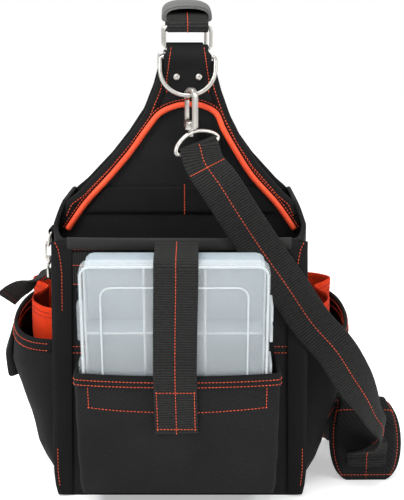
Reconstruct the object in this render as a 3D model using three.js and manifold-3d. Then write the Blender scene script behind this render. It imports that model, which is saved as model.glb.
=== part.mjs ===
// A soft-sided tool bag: a front pocket with a parts box, two bellows side pockets, two tall
// wings that carry a gripped handle, and a padded shoulder strap that reaches the floor.
// Millimetres, +Z up. X runs along the front panel, -Y is the front, and the origin is the
// centre of the bag's base, on the surface that it stands on.
import * as THREE from "three";
import { mergeVertices } from "three/addons/utils/BufferGeometryUtils.js";
import Module from "manifold-3d";

const wasm = await Module();
wasm.setup();
const { lerp, clamp, smoothstep, degToRad } = THREE.MathUtils;
const vec = (x, y, z) => new THREE.Vector3(x, y, z);
const flat = (x, y) => new THREE.Vector2(x, y);

// Driving dimensions
const gap = 0.35; // clearance between pieces that touch
const webbing = 38; // width of the handle, box and shoulder webbing
const webbingThick = 1.8;

const bodyHalfDepth = 85;
const panelFootHalf = 111; // half width of the front panel at the floor
const panelTopHalf = 107.25;
const panelHeight = 245;
const rimHeight = 275; // side walls between the wings
const sideSwell = 11; // how far the side walls bow out
const bodyWall = 3;
const bodyFloor = 4;
const edgeWidth = 9; // bindings down the upright corners
const edgeThick = 1.2;

const wingPlane = 50; // middle of each wing from the bag's middle
const wingThick = 4;
const wingTop = 404;
const neckHalf = 22.1;
const frontNeckShift = 7.5; // the front wing leans right at its neck
const rearNeckShift = 3;
const pipingRadius = 2.6;
const pipingFoot = 249;
const pipingTop = 364.9;
const pipingShift = 9.5; // the arch's top leans right too
const elasticWidth = 25;
const elasticThick = 1.4;
const elasticMiddle = 276.5;

const pocketShift = -1;
const pocketHalf = 90; // parts-box pocket at its rim
const pocketRim = 136;
const pocketWall = 2;
const pocketRound = 6;
const pocketFootBack = 8; // height of its floor at the panel
const pocketSlope = 0.255; // and its rise towards the front
const rimTape = 12; // binding along a pocket's rim
const rimTapeThick = 1.1;

const boxWidth = 163;
const boxLength = 222;
const boxThick = 36;
const boxLean = degToRad(12);
const boxShift = -3;
const boxStandOff = 6.6; // from the panel to the box's foot
const boxEase = 1.2; // room between the box and the pocket's face
const boxRound = 8;
const lidDepth = 10;
const lidWall = 1.6;
const trayInset = 3.5;
const trayWall = 1.4;
const trayColumns = 3;
const latchLength = 34;
const latchPitch = 55;
const latchDepth = 24;
const latchThick = 2.6;
const boxStrapHem = 236;
const boxStrapFoot = 82;

const sideReach = 55; // side pockets stand out this far
const sideFront = 66;
const sideBack = 62;
const sideFoot = 4;
const sideRimFront = 145;
const sideRimBack = 172;
const sideWall = 2;
const toolRimFront = 170; // the bright tool pockets' rim, at the front
const toolRimBack = 189; // and at the rear
const toolFoot = 76;
const toolWall = 1.6;

const ringWire = 1.6; // radius
const ringInside = 39;
const ringRise = 19.8;
const ringLow = 414.6;
const ringRound = 2;
const dWire = 1.95;
const dInside = 46.4;
const dBarHeight = 407.5;
const dDrop = 36;
const dTilt = degToRad(19); // the D-rings hang clear of the piping
const tabNarrow = 37.4; // inside the square ring
const tabWide = 43.5;
const tabThick = 2.2;
const tabFoot = 376;
const rivetRadius = 3.2;
const rivetHeight = 389.5;
const rivetPitch = 20.3;

const handleTop = 449.5; // middle of the handle webbing at the top of its arch
const handleThick = 3;
const gripHalfLength = 43;
const gripWidth = 45;
const gripWall = 2.6;

const hookThick = 5;
const hookLength = 38;
const bowInner = 4.9;
const bowOuter = 8.2;
const snapYaw = degToRad(-55);
const snapShift = 3; // the hook hangs a little right of the D-ring's middle
const studRadius = 2;
const studLength = 5;
const eyeWire = 2;
const eyeDrop = 17;
const eyeYaw = degToRad(28);
const eyeForward = degToRad(-16);
const eyeTilt = degToRad(17);

const strapThick = 1.8;
const padWidth = 70;
const padThick = 12;
const padHeight = 73;
const padSpread = 120;
const padX = 180;
const padY = -45;
const padTurn = degToRad(-1);
const padBand = 9; // height of the end band that the strap goes behind

const tapeWidth = 25;
const tapeThick = 1.6;
const sideHardwareY = -28;
const sideHardwareTop = 246;

// Materials
const paint = (color, roughness, metalness = 0) =>
  new THREE.MeshStandardMaterial({ color, roughness, metalness });
const blackCloth = paint(0x232325, 0.9);
const blackWebbing = paint(0x2b2b2c, 0.85);
const orangeCloth = paint(0xcd2d14, 0.85);
const orangeCord = paint(0xfa5a2d, 0.7);
const rubber = paint(0x5f5f5d, 0.6);
const nickel = paint(0xd4d1ca, 0.25, 1);
const clearPlastic = paint(0xdfe6ea, 0.35);

const model = new THREE.Group();

function add(name, geometry, material, parent = model) {
  const mesh = new THREE.Mesh(geometry, material.clone());
  mesh.name = name;
  parent.add(mesh);
  return mesh;
}

// Solids and booleans
function solidOf(geometry) {
  const bare = geometry.clone();
  for (const name of Object.keys(bare.attributes)) {
    if (name !== "position") bare.deleteAttribute(name);
  }
  const merged = mergeVertices(bare, 1e-4);
  return new wasm.Manifold(
    new wasm.Mesh({
      numProp: 3,
      vertProperties: new Float32Array(merged.attributes.position.array),
      triVerts: new Uint32Array(merged.index.array),
    }),
  );
}

function geometryOf(solid) {
  const mesh = solid.getMesh();
  const geometry = new THREE.BufferGeometry();
  geometry.setAttribute("position", new THREE.BufferAttribute(mesh.vertProperties, 3));
  geometry.setIndex(new THREE.BufferAttribute(mesh.triVerts, 1));
  return geometry;
}

const cut = (geometry, ...tools) =>
  geometryOf(tools.reduce((left, tool) => left.subtract(solidOf(tool)), solidOf(geometry)));
const join = (geometry, ...others) =>
  geometryOf(others.reduce((sum, other) => sum.add(solidOf(other)), solidOf(geometry)));
const shared = (geometry, other) => geometryOf(solidOf(geometry).intersect(solidOf(other)));

function boxBetween(low, high) {
  const size = high.map((value, i) => value - low[i]);
  const middle = high.map((value, i) => (value + low[i]) / 2);
  return new THREE.BoxGeometry(...size).translate(...middle);
}

// Reads a column of a table between its rows.
function lookUp(rows, key, column, value) {
  let i = 0;
  while (i < rows.length - 2 && rows[i + 1][key] < value) i += 1;
  const share = (value - rows[i][key]) / (rows[i + 1][key] - rows[i][key]);
  return lerp(rows[i][column], rows[i + 1][column], clamp(share, 0, 1));
}

// Turns a closed skin the right way round by the sign of its volume.
function outward(geometry) {
  const places = geometry.attributes.position;
  const index = Array.from(geometry.index.array);
  const corner = (i) => new THREE.Vector3().fromBufferAttribute(places, index[i]);
  let volume = 0;
  for (let i = 0; i < index.length; i += 3) {
    volume += corner(i).dot(corner(i + 1).cross(corner(i + 2)));
  }
  if (volume < 0) {
    geometry.setIndex(index.reverse());
  }
  return geometry;
}

// An end cap: the ring is laid flat in its own plane and triangulated there.
function capOf(ring, first, flip) {
  const normal = vec(0, 0, 0);
  ring.forEach((p, i) => normal.add(vec(0, 0, 0).crossVectors(p, ring[(i + 1) % ring.length])));
  normal.normalize();
  const across = vec(0, 0, 0).subVectors(ring[1], ring[0]).normalize();
  const up = vec(0, 0, 0).crossVectors(normal, across);
  const laid = ring.map((p) => flat(p.dot(across), p.dot(up)));
  return THREE.ShapeUtils.triangulateShape(laid, []).flatMap(([a, b, c]) =>
    flip ? [first + a, first + c, first + b] : [first + a, first + b, first + c],
  );
}

// A closed skin over rings of points with the same count each.
function skin(rings, closed = false) {
  const count = rings[0].length;
  const index = [];
  const last = closed ? rings.length : rings.length - 1;
  for (let i = 0; i < last; i += 1) {
    const next = (i + 1) % rings.length;
    for (let j = 0; j < count; j += 1) {
      const k = (j + 1) % count;
      const [a, b, c, d] = [i * count + j, i * count + k, next * count + k, next * count + j];
      index.push(a, b, c, a, c, d);
    }
  }
  if (!closed) {
    index.push(...capOf(rings[0], 0, true));
    index.push(...capOf(rings.at(-1), (rings.length - 1) * count, false));
  }
  const geometry = new THREE.BufferGeometry();
  const positions = rings.flat().flatMap((p) => [p.x, p.y, p.z]);
  geometry.setAttribute("position", new THREE.Float32BufferAttribute(positions, 3));
  geometry.setIndex(index);
  return outward(geometry);
}

// The corner's normal direction and how far it stretches an offset.
function cornerNormal(before, p, after) {
  const a = flat(0, 0).subVectors(p, before).normalize();
  const b = flat(0, 0).subVectors(after, p).normalize();
  const first = flat(a.y, -a.x);
  const middle = first.clone().add(flat(b.y, -b.x)).normalize();
  return { middle, stretch: 1 / Math.max(0.5, middle.dot(first)) };
}

function grow(points, distance) {
  const side = THREE.ShapeUtils.area(points) > 0 ? 1 : -1;
  return points.map((p, i) => {
    const before = points.at(i - 1);
    const after = points[(i + 1) % points.length];
    const { middle, stretch } = cornerNormal(before, p, after);
    return p.clone().addScaledVector(middle, distance * stretch * side);
  });
}

// A strip of one thickness along a line of flat points, as a closed outline.
function stripOutline(points, thickness) {
  const last = points.length - 1;
  const edge = (sign) =>
    points.map((p, i) => {
      const before = i ? points[i - 1] : p.clone().multiplyScalar(2).sub(points[1]);
      const after = i < last ? points[i + 1] : p.clone().multiplyScalar(2).sub(points[last - 1]);
      const { middle, stretch } = cornerNormal(before, p, after);
      return p.clone().addScaledVector(middle, (sign * thickness * stretch) / 2);
    });
  return [...edge(1), ...edge(-1).reverse()];
}

// A YZ outline made wide along X, and an XZ outline made thick along Y.
const alongX = (outline, low, high) =>
  skin([low, high].map((x) => outline.map((p) => vec(x, p.x, p.y))));
const alongY = (outline, low, high) =>
  skin([low, high].map((y) => outline.map((p) => vec(p.x, y, p.y))));
const alongZ = (outline, low, high) =>
  skin([low, high].map((z) => outline.map((p) => vec(p.x, p.y, z))));

// A section carried along a route whose stops give the width direction.
function carry(section, route, closed = false) {
  const count = route.length;
  const rings = route.map(({ at, across, wide = 1 }, i) => {
    const before = route[closed ? (i + count - 1) % count : Math.max(i - 1, 0)].at;
    const after = route[closed ? (i + 1) % count : Math.min(i + 1, count - 1)].at;
    const along = vec(0, 0, 0).subVectors(after, before).normalize();
    const side = across.clone().addScaledVector(along, -across.dot(along)).normalize();
    const proud = vec(0, 0, 0).crossVectors(along, side);
    return section.map((p) =>
      at.clone().addScaledVector(side, p.x * wide).addScaledVector(proud, p.y),
    );
  });
  return skin(rings, closed);
}

// A route smoothed through its stops, with the width direction turned along.
function smoothRoute(stops, count) {
  const places = new THREE.CatmullRomCurve3(stops.map((stop) => stop.at), false, "centripetal");
  const sides = new THREE.CatmullRomCurve3(stops.map((stop) => stop.across), false, "catmullrom", 0.3);
  return Array.from({ length: count + 1 }, (_, i) => ({
    at: places.getPoint(i / count),
    across: sides.getPoint(i / count).normalize(),
  }));
}

const roundSection = (radius, sides = 8) =>
  Array.from({ length: sides }, (_, i) => {
    const angle = ((i + 0.5) * 2 * Math.PI) / sides;
    return flat(Math.cos(angle) * radius, Math.sin(angle) * radius);
  });

const bandSection = (width, low, high) => [
  flat(-width / 2, low),
  flat(width / 2, low),
  flat(width / 2, high),
  flat(-width / 2, high),
];

const inPlane = (points, normal) => points.map((at) => ({ at, across: normal }));

// A rounded rectangle as flat points, going round from its right side.
function roundedOutline(half, low, high, round, steps = 3) {
  const corners = [
    { x: half - round, z: high - round },
    { x: round - half, z: high - round },
    { x: round - half, z: low + round },
    { x: half - round, z: low + round },
  ];
  return corners.flatMap(({ x, z }, turn) =>
    Array.from({ length: steps + 1 }, (_, i) => {
      const angle = ((turn + i / steps) * Math.PI) / 2;
      return flat(x + round * Math.cos(angle), z + round * Math.sin(angle));
    }),
  );
}

// Body. The side walls bow out between the corners and draw in again at the wings.
const sideBow = [
  { along: 0, bow: 0 },
  { along: 0.04, bow: 0.35 },
  { along: 0.1, bow: 0.7 },
  { along: 0.2, bow: 0.95 },
  { along: 0.5, bow: 1 },
  { along: 0.8, bow: 0.95 },
  { along: 0.9, bow: 0.7 },
  { along: 0.96, bow: 0.35 },
  { along: 1, bow: 0 },
];
const sideFlare = [
  { rise: 0, flare: 0.25 },
  { rise: 0.45, flare: 0.6 },
  { rise: 0.8, flare: 0.95 },
  { rise: panelHeight / rimHeight, flare: 0.99 },
  { rise: lerp(panelHeight, rimHeight, 0.31) / rimHeight, flare: 1 },
  { rise: 1, flare: 0.1 },
];
const farOut = 4 * panelFootHalf;

const panelHalfAt = (z) => lerp(panelFootHalf, panelTopHalf, Math.min(z / panelHeight, 1));
const swellAt = (z) => sideSwell * lookUp(sideFlare, "rise", "flare", z / rimHeight);

function bodyHalfAt(y, z) {
  const along = (y + bodyHalfDepth) / (2 * bodyHalfDepth);
  return panelHalfAt(z) + swellAt(z) * lookUp(sideBow, "along", "bow", along);
}

function bodyOutline(z, growth) {
  const right = sideBow.map(({ along, bow }) =>
    flat(panelHalfAt(z) + swellAt(z) * bow, (2 * along - 1) * bodyHalfDepth),
  );
  const left = right.map((p) => flat(-p.x, p.y)).reverse();
  return grow([...right, ...left], growth);
}

const heightsBetween = (low, high) => [
  low,
  ...sideFlare.map(({ rise }) => rise * rimHeight).filter((z) => z > low && z < high),
  high,
];
const bodyBlock = (low, high, growth) =>
  skin(heightsBetween(low, high).map((z) => bodyOutline(z, growth).map((p) => vec(p.x, p.y, z))));

const rimLine = [
  { out: 3, rise: 0 },
  { out: 0.92, rise: 0 },
  { out: 0.75, rise: 0.4 },
  { out: 0.6, rise: 1.03 },
  { out: 0.6, rise: 4 },
  { out: 3, rise: 4 },
];
const rimCut = (side) =>
  alongX(
    rimLine.map(({ out, rise }) =>
      flat(side * out * bodyHalfDepth, lerp(panelHeight, rimHeight, rise)),
    ),
    -farOut,
    farOut,
  );
const shell = cut(
  bodyBlock(0, rimHeight, 0),
  bodyBlock(bodyFloor, rimHeight + 5, -bodyWall),
  rimCut(-1),
  rimCut(1),
);
add("body_shell", shell, blackCloth);
const bodyClear = bodyBlock(-5, rimHeight + 5, gap);

// Bindings that fold round the four upright corners.
const edgeLow = 1.5;
const edgeSleeve = cut(
  bodyBlock(edgeLow, panelHeight - 2, gap + edgeThick),
  bodyBlock(edgeLow - 2, panelHeight + 2, gap),
);
for (const [front, side] of [["front", -1], ["rear", 1]]) {
  for (const [name, sign] of [["left", -1], ["right", 1]]) {
    const near = vec(sign * (panelTopHalf - edgeWidth), side * (bodyHalfDepth - edgeWidth), 0);
    const far = vec(sign * farOut, side * farOut, 0);
    const post = boxBetween(
      [Math.min(near.x, far.x), Math.min(near.y, far.y), -1],
      [Math.max(near.x, far.x), Math.max(near.y, far.y), rimHeight],
    );
    add("corner_binding_" + front + "_" + name, shared(edgeSleeve, post), blackWebbing);
  }
}

// Wings: below the shoulder they fill the bag from side to side, above it they draw in to a neck.
const wingShape = [
  { rise: 0, half: 1, lean: 0 },
  { rise: 0.07, half: 0.869, lean: 0.1 },
  { rise: 0.274, half: 0.569, lean: 0.27 },
  { rise: 0.44, half: 0.371, lean: 0.53 },
  { rise: 0.616, half: 0.199, lean: 0.87 },
  { rise: 0.794, half: 0.09, lean: 0.97 },
  { rise: 1, half: 0, lean: 1 },
];
const shoulder = rimHeight - 1;
const wingEase = bodyWall + gap + 0.8;

function wingOutline(y, shift) {
  const widest = bodyHalfAt(y, shoulder) - wingEase;
  const side = (sign) => [
    ...heightsBetween(bodyFloor + gap, shoulder)
      .slice(0, -1)
      .map((z) => flat(sign * (bodyHalfAt(y, z) - wingEase), z)),
    ...wingShape.map(({ rise, half, lean }) =>
      flat(sign * lerp(neckHalf, widest, half) + shift * lean, lerp(shoulder, wingTop, rise)),
    ),
  ];
  return [...side(1), ...side(-1).reverse()];
}
const wing = (y, shift) => alongY(wingOutline(y, shift), y - wingThick / 2, y + wingThick / 2);
add("front_wing", wing(-wingPlane, frontNeckShift), blackCloth);
add("rear_wing", wing(wingPlane, rearNeckShift), blackCloth);

// Piping in an arch on the front wing.
const pipingArch = [
  { rise: 0, out: 0.985, lean: 0.1 },
  { rise: 0.21, out: 0.825, lean: 0.1 },
  { rise: 0.426, out: 0.614, lean: 0.12 },
  { rise: 0.611, out: 0.463, lean: 0.34 },
  { rise: 0.807, out: 0.325, lean: 0.53 },
  { rise: 0.928, out: 0.24, lean: 0.8 },
  { rise: 0.985, out: 0.12, lean: 0.95 },
  { rise: 1, out: 0, lean: 1 },
];
const wingFace = -wingPlane - wingThick / 2;
const pipingY = wingFace - gap - pipingRadius;
const pipingSide = (sign) =>
  pipingArch.map(({ rise, out, lean }) =>
    vec(
      pipingShift * lean + sign * out * panelTopHalf,
      pipingY,
      lerp(pipingFoot, pipingTop, rise),
    ),
  );
const pipingLine = new THREE.CatmullRomCurve3(
  [...pipingSide(-1), ...pipingSide(1).reverse().slice(1)],
  false,
  "centripetal",
);
add(
  "front_piping",
  carry(roundSection(pipingRadius), inPlane(pipingLine.getSpacedPoints(44), vec(0, 1, 0))),
  orangeCord,
);

// The elastic tool band lies between the two runs of piping.
function elasticCorner(sign, z) {
  const rise = (z - pipingFoot) / (pipingTop - pipingFoot);
  const half = panelTopHalf * lookUp(pipingArch, "rise", "out", rise) - 2.2 * pipingRadius;
  return flat(pipingShift * lookUp(pipingArch, "rise", "lean", rise) + sign * half, z);
}
const elasticLow = elasticMiddle - elasticWidth / 2;
const elasticHigh = elasticMiddle + elasticWidth / 2;
add(
  "elastic_band",
  alongY(
    [
      elasticCorner(-1, elasticLow),
      elasticCorner(1, elasticLow),
      elasticCorner(1, elasticHigh),
      elasticCorner(-1, elasticHigh),
    ],
    wingFace - gap - elasticThick,
    wingFace - gap,
  ),
  blackWebbing,
);

// Parts-box pocket: its floor rises to the front and its face leans with the box.
const pocketFloorAt = (y, lift) => pocketFootBack + lift - pocketSlope * (y + bodyHalfDepth);
const boxFrontFoot = -bodyHalfDepth - boxStandOff - boxThick * Math.cos(boxLean);
const boxLowest = pocketFloorAt(boxFrontFoot, 1.1 * pocketWall + gap);
const pocketFace = (z) =>
  boxFrontFoot - (z - boxLowest) * Math.tan(boxLean) - (boxEase + pocketWall) / Math.cos(boxLean);

const pocketSide = [
  { rise: 0, half: 0.88 },
  { rise: 0.08, half: 0.96 },
  { rise: 0.16, half: 0.985 },
  { rise: 0.5, half: 0.99 },
  { rise: 1, half: 1 },
];
function pocketOutline(z, growth) {
  const rise = (z - pocketFootBack) / (pocketRim - pocketFootBack);
  const half = pocketHalf * lookUp(pocketSide, "rise", "half", rise);
  const front = pocketFace(z);
  const corner = (sign) =>
    [0, 1, 2, 3].map((i) => {
      const angle = (i * Math.PI) / 6;
      return flat(
        pocketShift + sign * (half - pocketRound * (1 - Math.cos(angle))),
        front + pocketRound * (1 - Math.sin(angle)),
      );
    });
  const back = 10 - bodyHalfDepth;
  const outline = [
    flat(pocketShift - half, back),
    ...corner(-1),
    ...corner(1).reverse(),
    flat(pocketShift + half, back),
  ];
  return grow(outline, growth).map((p) => vec(p.x, p.y, z));
}
function pocketBlock(low, high, growth) {
  const rows = pocketSide.map(({ rise }) => lerp(pocketFootBack, pocketRim, rise));
  const levels = [low, ...rows.filter((z) => z > low && z < high), high];
  return skin(levels.map((z) => pocketOutline(z, growth)));
}
const underFloor = (lift) =>
  alongX(
    [
      flat(0, pocketFloorAt(0, lift)),
      flat(-farOut, pocketFloorAt(-farOut, lift)),
      flat(-farOut, -farOut),
      flat(0, -farOut),
    ],
    -farOut,
    farOut,
  );
add(
  "box_pocket",
  cut(
    pocketBlock(pocketFootBack, pocketRim, 0),
    underFloor(0),
    cut(pocketBlock(0, pocketRim + 6, -pocketWall), underFloor(pocketWall)),
    bodyClear,
  ),
  blackCloth,
);
add(
  "box_pocket_binding",
  cut(
    pocketBlock(pocketRim - rimTape, pocketRim, gap + rimTapeThick),
    pocketBlock(pocketRim - rimTape - 2, pocketRim + 2, gap),
    boxBetween([-farOut, -bodyHalfDepth - 2, 0], [farOut, farOut, farOut]),
  ),
  blackWebbing,
);

// Parts box, in its own frame: its back foot at the origin, and the whole box leans forward.
const boxGroup = new THREE.Group();
const boxFootY = -bodyHalfDepth - boxStandOff;
boxGroup.position.set(boxShift, boxFootY, boxLowest + boxThick * Math.sin(boxLean));
boxGroup.rotation.x = boxLean;
model.add(boxGroup);

const trayHalf = boxWidth / 2 - trayInset;
const trayDepth = boxThick - lidDepth;
const trayRows = [0, 0.23, 0.46, 0.7, 1];
const trayCells = [];
const cellWidth = (2 * trayHalf - trayWall * (trayColumns + 1)) / trayColumns;
for (let column = 0; column < trayColumns; column += 1) {
  const x = trayWall - trayHalf + column * (cellWidth + trayWall);
  for (let row = 0; row < trayRows.length - 1; row += 1) {
    const floor = lerp(trayInset, boxLength - trayInset, trayRows[row]);
    const roof = lerp(trayInset, boxLength - trayInset, trayRows[row + 1]);
    const inset = 0.5 * trayWall;
    trayCells.push(
      boxBetween(
        [x, -trayDepth - 1, floor + (row ? inset : trayWall)],
        [x + cellWidth, -trayWall, roof - (row < trayRows.length - 2 ? inset : trayWall)],
      ),
    );
  }
}
// Corner fillets of the tray keep their wall because the cells' outer corners are cut round.
const trayEdge = trayInset + trayWall;
const trayRoom = alongY(
  roundedOutline(trayHalf - trayWall, trayEdge, boxLength - trayEdge, boxRound - trayWall),
  -trayDepth - 2,
  0,
);
add(
  "parts_box_tray",
  cut(
    alongY(roundedOutline(trayHalf, trayInset, boxLength - trayInset, boxRound), -trayDepth, 0),
    ...trayCells.map((cell) => shared(cell, trayRoom)),
  ),
  clearPlastic,
  boxGroup,
);
const latchHeights = [-1, 0, 1].map((i) => boxLength / 2 + i * latchPitch);
const hingeLugs = latchHeights.map((z) =>
  boxBetween(
    [-boxWidth / 2 - latchThick, -trayDepth - lidDepth / 2, z - latchLength / 2],
    [trayInset - gap - boxWidth / 2, -trayDepth + lidDepth / 2, z + latchLength / 2],
  ),
);
const lidLap = 3; // the lid's skirt reaches this far over the tray
add(
  "parts_box_lid",
  join(
    cut(
      alongY(roundedOutline(boxWidth / 2, 0, boxLength, boxRound + 1), -boxThick, lidLap - trayDepth),
      alongY(
        roundedOutline(boxWidth / 2 - lidWall, lidWall, boxLength - lidWall, boxRound),
        lidWall - boxThick,
        lidLap - trayDepth + 1,
      ),
    ),
    ...hingeLugs,
  ),
  clearPlastic,
  boxGroup,
);
const latchX = boxWidth / 2 + gap;
["lower", "middle", "upper"].forEach((name, i) => {
  const z = latchHeights[i];
  const front = -boxThick + 1.5;
  const plate = boxBetween(
    [latchX, front, z - latchLength / 2],
    [latchX + latchThick, front + latchDepth, z + latchLength / 2],
  );
  const notch = boxBetween(
    [latchX + 0.55 * latchThick, front - 1, z - 0.06 * latchLength],
    [latchX + 2 * latchThick, front + latchDepth + 1, z + 0.06 * latchLength],
  );
  add("box_latch_" + name, cut(plate, notch), clearPlastic, boxGroup);
});

// Box strap: from the panel's hem over the box, down the lid and onto the pocket's face.
function boxPoint(front, z) {
  const p = vec(0, -front, z).applyAxisAngle(vec(1, 0, 0), boxLean).add(boxGroup.position);
  return flat(p.y, p.z);
}
const ply = webbingThick / 2 + gap;
const tapeOff = gap + rimTapeThick;
const overTape = pocketRim - rimTape;
const boxStrapLine = [
  flat(-bodyHalfDepth - ply, boxStrapHem - 17),
  flat(-bodyHalfDepth - ply, boxStrapHem),
  boxPoint(-6, boxLength + 2 * ply),
  boxPoint(2, boxLength + 1.4 * ply),
  boxPoint(boxThick, boxLength + 1.8 * ply),
  boxPoint(boxThick + 1.8 * ply, boxLength),
  boxPoint(boxThick + 1.2 * ply, boxLength - 6),
  boxPoint(boxThick + 1.2 * ply, 0.6 * boxLength),
  flat(pocketFace(pocketRim + 4) - 1.3 * ply - tapeOff, pocketRim + 4),
  flat(pocketFace(overTape - 1) - 1.3 * ply - tapeOff, overTape - 1),
  flat(pocketFace(overTape - 8) - 1.2 * ply, overTape - 8),
  flat(pocketFace(boxStrapFoot) - 1.2 * ply, boxStrapFoot),
];
add(
  "box_strap",
  alongX(
    stripOutline(boxStrapLine, webbingThick),
    boxShift - webbing / 2 + 0.8,
    boxShift + webbing / 2 + 0.8,
  ),
  blackWebbing,
);

// Side pockets, worked out for the right side and mirrored.
const sideProfile = [
  { rise: 0, reach: 0.13 },
  { rise: 0.04, reach: 0.25 },
  { rise: 0.12, reach: 0.42 },
  { rise: 0.21, reach: 0.55 },
  { rise: 0.38, reach: 0.69 },
  { rise: 0.68, reach: 1 },
  { rise: 0.86, reach: 0.94 },
  { rise: 1, reach: 0.88 },
];
const sideMiddle = (sideBack - sideFront) / 2;
const sideHalf = (sideBack + sideFront) / 2;
const sideRoot = panelFootHalf - 6;

function sideOutline(z, growth) {
  const rise = (z - sideFoot) / (sideRimBack - sideFoot);
  const reach = sideReach * lookUp(sideProfile, "rise", "reach", rise) + panelFootHalf - sideRoot;
  const bow = Array.from({ length: 13 }, (_, i) => {
    const angle = (i / 12) * Math.PI;
    const swell = Math.sin(angle) < 1e-6 ? 0 : Math.pow(Math.sin(angle), 0.55);
    return flat(sideRoot + reach * swell, sideMiddle - sideHalf * Math.cos(angle));
  });
  const back = [flat(sideRoot - 8, sideMiddle + sideHalf), flat(sideRoot - 8, sideMiddle - sideHalf)];
  return grow([...bow, ...back], growth).map((p) => vec(p.x, p.y, z));
}
function sideBlock(low, high, growth) {
  const rows = sideProfile.map(({ rise }) => lerp(sideFoot, sideRimBack, rise));
  const levels = [low, ...rows.filter((z) => z > low && z < high), high];
  return skin(levels.map((z) => sideOutline(z, growth)));
}
// Everything over the slanting rim, dropped by a distance.
const overRim = (drop) =>
  alongX(
    [
      flat(-sideFront - farOut, sideRimFront - drop),
      flat(-sideFront, sideRimFront - drop),
      flat(sideBack, sideRimBack - drop),
      flat(sideBack + farOut, sideRimBack - drop),
      flat(sideBack + farOut, farOut),
      flat(-sideFront - farOut, farOut),
    ],
    -farOut,
    farOut,
  );
const mirrored = (geometry) => outward(geometry.clone().scale(-1, 1, 1));

const sidePocket = cut(
  sideBlock(sideFoot, sideRimBack, 0),
  sideBlock(sideFoot + sideWall, sideRimBack + 5, -sideWall),
  overRim(0),
);
const edgeClear = bodyBlock(-5, rimHeight + 5, 2 * gap + edgeThick);
const sideBinding = shared(
  cut(
    sideBlock(sideRimFront - 2 * rimTape, sideRimBack, gap + rimTapeThick),
    sideBlock(sideRimFront - 3 * rimTape, sideRimBack + 2, gap),
    overRim(0),
  ),
  overRim(rimTape),
);

// The tool pocket's folds in plan: along the side pocket, and out of its reach.
const toolFold = [
  { along: 0.1, out: 0.02 },
  { along: 0.16, out: 0.34 },
  { along: 0.3, out: 0.52 },
  { along: 0.44, out: 0.55 },
  { along: 0.52, out: 0.36 },
  { along: 0.6, out: 0.3 },
  { along: 0.68, out: 0.44 },
  { along: 0.8, out: 0.5 },
  { along: 0.88, out: 0.34 },
  { along: 0.92, out: 0.02 },
];
const toolLine = new THREE.SplineCurve(
  toolFold.map(({ along, out }) =>
    flat(panelFootHalf + out * sideReach, sideMiddle + (2 * along - 1) * sideHalf),
  ),
).getPoints(30);
// Drawn along y and up, then turned to run along x.
const toolRimCut = alongY(
  [
    flat(-farOut, toolRimFront),
    flat(sideMiddle - sideHalf, toolRimFront),
    flat(sideMiddle + sideHalf, toolRimBack),
    flat(farOut, toolRimBack),
    flat(farOut, farOut),
    flat(-farOut, farOut),
  ],
  -farOut,
  farOut,
).rotateZ(Math.PI / 2);
const toolPocket = cut(
  alongZ(stripOutline(toolLine, toolWall), toolFoot, toolRimBack),
  toolRimCut,
);
for (const [side, turn] of [["right", (geometry) => geometry], ["left", mirrored]]) {
  add("side_pocket_" + side, cut(turn(sidePocket), bodyClear), blackCloth);
  add("side_binding_" + side, cut(turn(sideBinding), edgeClear), blackWebbing);
  add("tool_pocket_" + side, cut(turn(toolPocket), bodyClear), orangeCloth);
}

// Handle hardware: each wing carries a folded tab, a square ring, a D-ring and two rivets.
const tabFold = ringWire + gap + tabThick / 2;
const tabOff = wingThick / 2 + gap + tabThick / 2;
const tabBulge = wingThick / 2 + 2 * gap + 2 * dWire + tabThick / 2 + 0.3;

function tabGeometry(plane, out, shift) {
  const fold = [4, 3, 2, 1, 0].map((i) => ({
    off: tabFold * Math.cos((i * Math.PI) / 4),
    z: ringLow + tabFold * Math.sin((i * Math.PI) / 4),
  }));
  const line = [
    { off: -tabOff, z: tabFoot + 6 },
    { off: -tabOff, z: wingTop + 1 },
    ...fold,
    { off: tabBulge, z: dBarHeight + 3 },
    { off: tabBulge, z: dBarHeight - 3 },
    { off: tabOff + 0.6, z: dBarHeight - 9 },
    { off: tabOff, z: dBarHeight - 12 },
    { off: tabOff, z: tabFoot },
  ];
  const outline = stripOutline(
    line.map(({ off, z }) => flat(plane + out * off, z)),
    tabThick,
  );
  const geometry = alongX(outline, -0.5, 0.5);
  const places = geometry.attributes.position;
  for (let i = 0; i < places.count; i += 1) {
    const share = smoothstep(ringLow - places.getZ(i), 0, ringLow - dBarHeight - dWire);
    places.setX(i, shift + places.getX(i) * lerp(tabNarrow, tabWide, share));
  }
  return geometry;
}

function dRing(plane, out, shift) {
  const half = dInside / 2 + dWire;
  const barY = plane + out * (wingThick / 2 + gap + dWire);
  const shoulderDrop = 6;
  const bow = Array.from({ length: 17 }, (_, i) => {
    const angle = Math.PI + (i / 16) * Math.PI;
    return flat(half * Math.cos(angle), Math.sin(angle) * (dDrop - shoulderDrop) - shoulderDrop);
  });
  const bar = [flat(half - 0.8, -2), flat(half - 3.4, 0), flat(3.4 - half, 0), flat(0.8 - half, -2)];
  const place = (p) =>
    vec(shift + p.x, barY - out * p.y * Math.sin(dTilt), dBarHeight + p.y * Math.cos(dTilt));
  const normal = vec(0, Math.cos(dTilt), out * Math.sin(dTilt));
  return {
    geometry: carry(roundSection(dWire), inPlane([...bow, ...bar].map(place), normal), true),
    bow: place(flat(0, -dDrop)),
  };
}

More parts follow.
